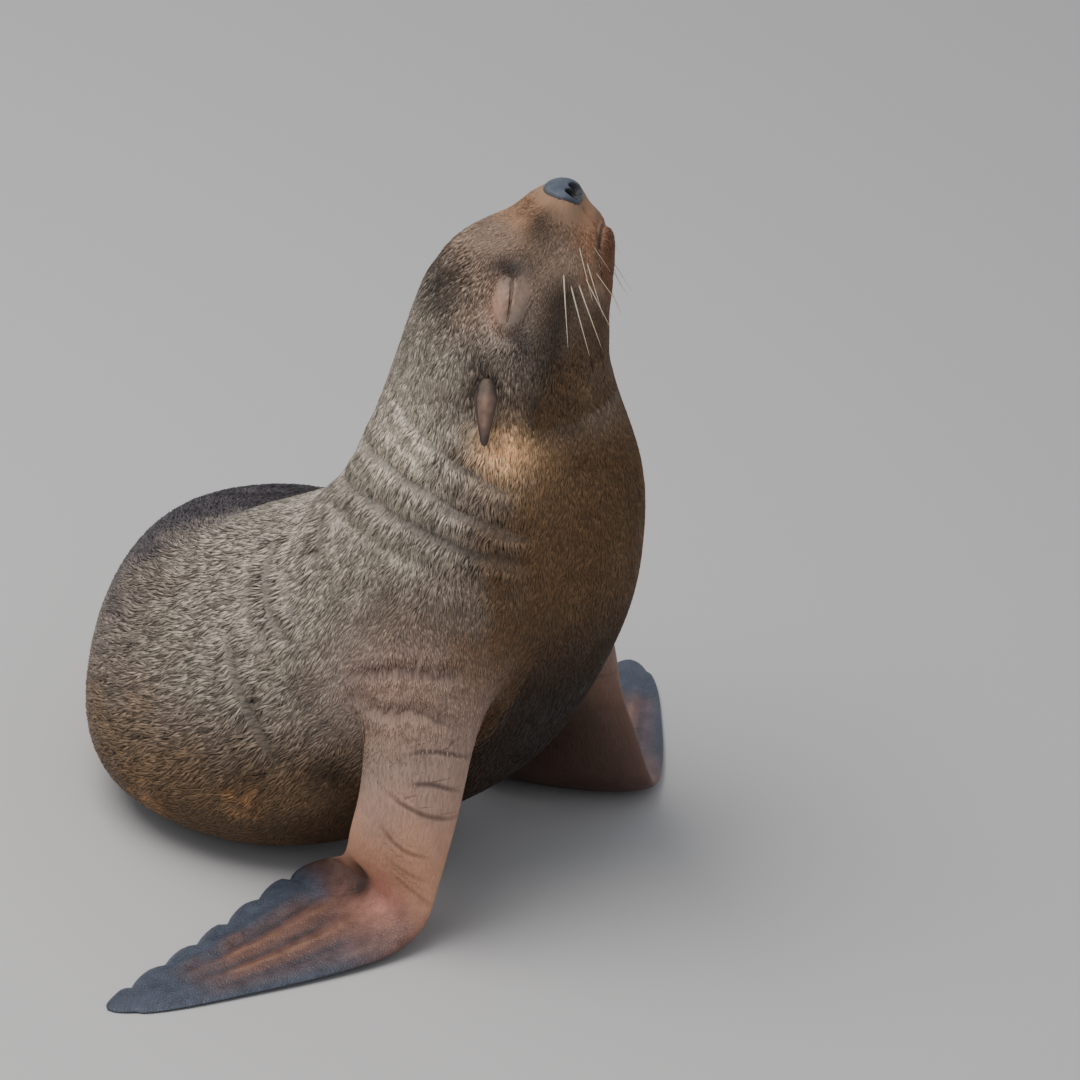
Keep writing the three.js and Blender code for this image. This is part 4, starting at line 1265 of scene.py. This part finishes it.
def skin_under():
    """How far the skin gives way under the pad: the pad's own ellipse in slopes from the
    muzzle's line, one inside it and nothing past its rim."""
    a, b, left = head_places(form)
    ahead = np.maximum(a - NOSE_ROOT[0], 1e-6)
    up_slope, out_slope = (b - NOSE_ROOT[1]) / ahead, left / ahead
    s = (up_slope - NOSE_LIFT) / NOSE_TALL
    t = out_slope / NOSE_WIDE / (1 + NOSE_FLARE * np.clip(s, -1, 1))
    return (a > NOSE_ROOT[0] + 8) * ease(-np.hypot(s, t), -0.86, -0.66)


(s, t), quads = disc(NOSE_GRID)
across_nose, up_nose = NOSE_WIDE * t * (1 + NOSE_FLARE * s), NOSE_LIFT + NOSE_TALL * s
inner = in_head(NOSE_ROOT[0] + 0 * s, NOSE_ROOT[1] + 0 * s, 0 * s)
ways = unit(MUZZLE + up_nose[:, None] * CROWN + across_nose[:, None] * HEAD_LEFT)
far = reach_skin(inner, ways, in_head(112.0, 10.0), 50)
edge = np.hypot(s, t)
holes = bell(np.hypot((up_nose + 0.20) / 1.3, np.abs(across_nose) - 0.15), 0.15)
nostril = ease(holes, 0.3, 0.7)
raised = (
    -1.2 + 3.4 * ease(-edge, -1.0, -0.72) - 8.0 * nostril
    - 0.9 * bell(across_nose, 0.05) * ease(-up_nose, 0.3, 0.5)
    + 1.0 * bell(np.abs(across_nose) - 0.36, 0.1) * bell(up_nose + 0.05, 0.3)
)
pad = inner + ways * (far + raised)[:, None]
form_now = read(skin.data, skin.data.vertices, "co", 3) * 1000 + BELLY_REST
form_now += skin_under()[:, None] * -13.0 * unit(form_now - inner[0])
skin.data.vertices.foreach_set("co", in_frame(form_now).astype(np.float32).ravel())
skin.data.update()
worn = ripple(pad, 14, 51)[:, None]
# Painted shade: the insides of the nostrils go near black.
dark = ease(holes, 0.2, 0.42)[:, None]
colour = tone(84, 92, 104) * (1 + 0.2 * worn) * (1 - dark) + tone(9, 9, 10) * dark
rim_share = ease(edge, 0.7, 1.0)[:, None]
colour = colour * (1 - rim_share) + tone(62, 52, 48) * rim_share
points, faces = closed(pad, quads, NOSE_GRID, -4.0 * MUZZLE, True)
nose_pad = mesh_piece("nose_pad", in_frame(points), faces.tolist())
put(nose_pad.data, "tint", "FLOAT_COLOR", "POINT", rgba(np.vstack([colour, colour])))
put(nose_pad.data, "wet", "FLOAT", "POINT", np.full(2 * len(s), 0.75))
put(nose_pad.data, "slit", "FLOAT", "POINT", np.full(2 * len(s), NO_SLIT))
nose_pad.data.materials.append(bare_look)
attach(nose_pad, "root")
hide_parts("nose")

# ---- ears ----------------------------------------------------------------------------
# Each ear is a small rolled leaf of gristle under thin skin. It lies back against the neck,
# open along its lower edge, and its tip is dark.
EAR_BASE = (-57.0, -9.0, 88.0)
EAR_TIP = (-115.0, -37.0, 95.0)
# share of the length, half width
EAR_WIDTH = np.array([
    [0, 4.5], [0.12, 9.5], [0.28, 11.8], [0.5, 9.4], [0.75, 5.8], [0.92, 3.9], [0.985, 2.0],
    [1.0, 0.15],
])
EAR_OPENING = 2.75


def tube_faces(count, around, first=0):
    """Quads between so many rings of points in a row, and a lid at each end."""
    k = np.arange(count * around).reshape(count, around) + first
    after = np.roll(k, -1, 1)
    quads = np.stack([k[:-1], after[:-1], after[1:], k[1:]], -1).reshape(-1, 4).tolist()
    return quads + [k[0, ::-1].tolist(), k[-1].tolist()]


def tube(name, rings, colours):
    """A closed piece from rings of points along a path, with a colour for each point."""
    piece = mesh_piece(name, in_frame(rings.reshape(-1, 3)), tube_faces(*rings.shape[:2]))
    put(piece.data, "tint", "FLOAT_COLOR", "POINT", rgba(colours.reshape(-1, 3)))
    return piece


EAR_RINGS, EAR_AROUND = 40, 36
t = np.linspace(0, 1, EAR_RINGS)
phi = 2 * np.pi * np.arange(EAR_AROUND) / EAR_AROUND
for side, label in ((-1, "right"), (1, "left")):
    base = in_head(*EAR_BASE[:2], side * EAR_BASE[2])
    tip = in_head(*EAR_TIP[:2], side * EAR_TIP[2])
    axis = unit(tip - base)
    outward = unit(across(side * HEAD_LEFT, axis))
    beside = np.cross(axis, outward) * side
    arch = 4.2 * np.sin(np.pi * t) ** 0.8 - 3.0 * (1 - t) ** 3
    line = base + t[:, None] * (tip - base) + arch[:, None] * outward
    width = np.interp(t, *EAR_WIDTH.T)
    slot = np.minimum(np.abs(phi - EAR_OPENING), 2 * np.pi - np.abs(phi - EAR_OPENING))
    hollow = 0.5 * bell(slot, 0.36) * ease(t, 0.08, 0.2)[:, None] * ease(-t, -0.93, -0.75)[:, None]
    radius = width[:, None] * (1 - hollow)
    rings = (
        line[:, None] + (radius * 0.72 * np.sin(phi))[..., None] * outward
        + (radius * np.cos(phi))[..., None] * beside
    )
    dark = ease(t, 0.62, 0.9)[:, None]
    colours = tone(134, 106, 90) * (1 - dark) + tone(84, 68, 60) * dark
    at_base = ease(-t, -0.34, -0.1)[:, None]
    colours = colours * (1 - at_base) + tone(92, 76, 62) * at_base
    # Painted light and shade: the rolled top of the ear is lighter and its open groove darker.
    from_top = np.arctan2(np.sin(phi - 1.5), np.cos(phi - 1.5))
    painted_ear_light = 0.5 + 0.7 * bell(from_top, 0.7) - 0.42 * bell(slot, 0.4)
    worn = 1 + 0.2 * ripple(rings.reshape(-1, 3), 9, 71).reshape(EAR_RINGS, EAR_AROUND, 1)
    tints = colours[:, None] * painted_ear_light[None, :, None] * worn
    if side > 0:
        rings, tints = rings[:, ::-1], tints[:, ::-1]
    piece = tube("ear_" + label + "_leaf", rings, tints)
    put(piece.data, "wet", "FLOAT", "POINT", np.full(EAR_RINGS * EAR_AROUND, 0.2))
    put(piece.data, "slit", "FLOAT", "POINT", np.full(EAR_RINGS * EAR_AROUND, NO_SLIT))
    piece.data.materials.append(bare_look)
    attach(piece, "root")
    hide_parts("ear_" + label)

# ---- whiskers ------------------------------------------------------------------------
# Stiff pale bristles grow in rows from the whisker pads, and hang down past the cheeks.
# root along, up, side; where the tip hangs to from the root, forward, left and up; thickness
WHISKERS = [
    ((58, -26, 48), (-31, -19, -61), 0.8),
    ((50, -37, 46), (-20, -29, -60), 0.8),
    ((53, -43, 43), (-15, -31, -54), 0.75),
    ((60, -46, 38), (-12, -32, -41), 0.6),
    ((74, -40, 34), (-16, -25, -46), 0.6),
    ((84, -27, 36), (-19, -23, -44), 0.55),
    ((66, -52, 33), (2, -26, -34), 0.5),
    ((96, -14, 30), (-8, -14, -28), 0.42),
    ((90, -34, 28), (3, -20, -30), 0.42),
]
whisker_look, tree, shader = material("whisker bristle")
place = node(tree, "ShaderNodeTexCoord").outputs["Object"]
light = spread(tree, noise(tree, place, 900.0, 2.0).outputs["Fac"], (0.3, 0.7), (0.85, 1.1))
tree.links.new(shade(tree, from_mesh(tree, "tint", "Color"), light), shader.inputs["Base Color"])
shader.inputs["Roughness"].default_value = 0.35
WHISKER_RINGS, WHISKER_AROUND = 22, 7
t = np.linspace(0, 1, WHISKER_RINGS)
phi = 2 * np.pi * np.arange(WHISKER_AROUND) / WHISKER_AROUND
for side, label in ((-1, "right"), (1, "left")):
    all_rings, all_colours = [], []
    for (along, up, out), hang, thick in WHISKERS:
        start = in_head(along, up, 0.0)
        way = side * HEAD_LEFT
        depth = reach_skin(start[None], way[None], in_head(along, up, side * out), 45)[0]
        root = start + way * (depth - 1.5)
        drop = np.array(hang, float)
        if side > 0:
            drop = drop - 2 * (drop @ HEAD_LEFT) * HEAD_LEFT
        rise = 0.09 * np.linalg.norm(drop) * unit(way + 0.25 * MUZZLE)
        bow = np.sin(np.pi * t) * 0.6 * (1 - 0.4 * t)
        line = root + (t ** 1.15)[:, None] * drop + bow[:, None] * rise
        ahead = unit(np.gradient(line, axis=0))
        one_side = unit(np.cross(ahead, [0.3, 1.0, 0.1]))[:, None]
        other_side = np.cross(ahead, one_side[:, 0])[:, None]
        radius = thick * (1.0 - 0.82 * t ** 1.2)
        round_it = one_side * np.cos(phi)[:, None] + other_side * np.sin(phi)[:, None]
        all_rings.append(line[:, None] + radius[:, None, None] * round_it)
        fade = ease(t, 0.0, 0.12)[:, None]
        all_colours.append(tone(120, 92, 66) * (1 - fade) + tone(226, 210, 180) * fade)
    points = np.concatenate(all_rings).reshape(-1, 3)
    faces = []
    for n in range(len(WHISKERS)):
        first = n * WHISKER_RINGS * WHISKER_AROUND
        faces += tube_faces(WHISKER_RINGS, WHISKER_AROUND, first)
    bristles = mesh_piece("whiskers_" + label, in_frame(points), faces)
    tints = np.repeat(np.concatenate(all_colours), WHISKER_AROUND, 0)
    put(bristles.data, "tint", "FLOAT_COLOR", "POINT", rgba(tints))
    bristles.data.materials.append(whisker_look)
    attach(bristles, "root")

# ---- claws ---------------------------------------------------------------------------
# The three middle toes of each hind flipper carry a small blunt nail on top.
claw_look, tree, shader = material("nail horn")
place = node(tree, "ShaderNodeTexCoord").outputs["Object"]
layers = spread(tree, noise(tree, place, 260.0, 4.0).outputs["Fac"], (0.3, 0.7), (0.6, 1.35))
tree.links.new(shade(tree, from_mesh(tree, "tint", "Color"), layers), shader.inputs["Base Color"])
shader.inputs["Roughness"].default_value = 0.4
CLAW_RINGS = CLAW_AROUND = 12
CLAW_START, CLAW_LENGTH, CLAW_HALF = 118, 15, 3.4
HORN = tone(58, 48, 40)
t = np.linspace(0, 1, CLAW_RINGS)
phi = 2 * np.pi * np.arange(CLAW_AROUND) / CLAW_AROUND
for foot, label in ((RIGHT_FOOT, "right"), (LEFT_FOOT, "left")):
    ahead = heading(foot["heading"])
    beside = np.array([-ahead[1], ahead[0], 0.0])
    for number, across_foot in enumerate((-TOE_GAP, 0, TOE_GAP)):
        flat_place = np.array([*foot["ankle"], 0.0]) + CLAW_START * ahead + across_foot * beside
        top = reach_skin(flat_place[None], UP[None], flat_place, 60)[0]
        blunt = np.sqrt(np.clip(np.sin(np.pi * (0.08 + 0.9 * t)), 0.02, 1))
        width = CLAW_HALF * blunt * (1 - 0.35 * t)
        height = top - 0.6 + 2.2 * np.sin(np.pi * t * 0.8)
        line = flat_place + (t * CLAW_LENGTH)[:, None] * ahead + height[:, None] * UP
        rings = (
            line[:, None] + (width[:, None] * np.cos(phi))[..., None] * beside
            + (0.5 * width[:, None] * np.sin(phi))[..., None] * UP
        )
        tints = np.tile(HORN, (CLAW_RINGS * CLAW_AROUND, 1))
        nail = tube(f"claw_{label}_{number + 1}", rings, tints)
        nail.data.materials.append(claw_look)
        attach(nail, "root")

# ---- camera, floor and light ---------------------------------------------------------
# A long lens looks down on the animal from in front of its right side. A plain pale floor
# and three large soft lamps stand in for open shade.
AIM = (np.array([0.0, -29.0, 373.0]) - BELLY_REST) / 1000
VIEW = np.array([-0.785, -0.366, 0.5])
DISTANCE = 9.0
lens = bpy.data.cameras.new("camera")
lens.lens = 36 * DISTANCE * 1.05 / 1.08
lens.clip_end = 60
camera = bpy.data.objects.new("camera", lens)
bpy.context.scene.collection.objects.link(camera)
camera.location = AIM + DISTANCE * unit(VIEW)
camera.rotation_euler = (math.acos(unit(VIEW)[2]), 0, math.atan2(VIEW[1], VIEW[0]) + math.pi / 2)
bpy.context.scene.camera = camera

floor_corners = np.array([[-8, -8, 0], [8, -8, 0], [8, 8, 0], [-8, 8, 0.0]])
floor = mesh_piece("floor", floor_corners, [[0, 1, 2, 3]], smooth=False)
floor_paint, tree, shader = material("pale floor")
shader.inputs["Base Color"].default_value = (0.62, 0.60, 0.58, 1)
shader.inputs["Roughness"].default_value = 0.8
floor.data.materials.append(floor_paint)


def lamp(name, place, size, power, colour):
    """A square lamp of soft light that faces the animal's chest."""
    light = bpy.data.lights.new(name, "AREA")
    light.size, light.energy, light.color = size, power, colour
    piece = bpy.data.objects.new(name, light)
    piece.location = place
    toward = unit(np.array([0.0, 0.0, 0.3]) - np.array(place))
    bearing = math.atan2(toward[1], toward[0]) - math.pi / 2
    piece.rotation_euler = (math.acos(toward[2]) + math.pi, 0, bearing)
    bpy.context.scene.collection.objects.link(piece)


lamp("sky light", (-1.2, 1.2, 4.2), 3.5, 190, (1.0, 0.98, 0.96))
lamp("side light", (-3.6, 1.6, 2.0), 2.2, 260, (1.0, 0.98, 0.97))
lamp("fill light", (0.5, -4.0, 2.0), 3.0, 24, (0.95, 0.98, 1.0))
world = bpy.data.worlds.new("open shade")
world.use_nodes = True
world.node_tree.nodes["Background"].inputs["Color"].default_value = (0.75, 0.80, 0.88, 1)
world.node_tree.nodes["Background"].inputs["Strength"].default_value = 0.55
bpy.context.scene.world = world
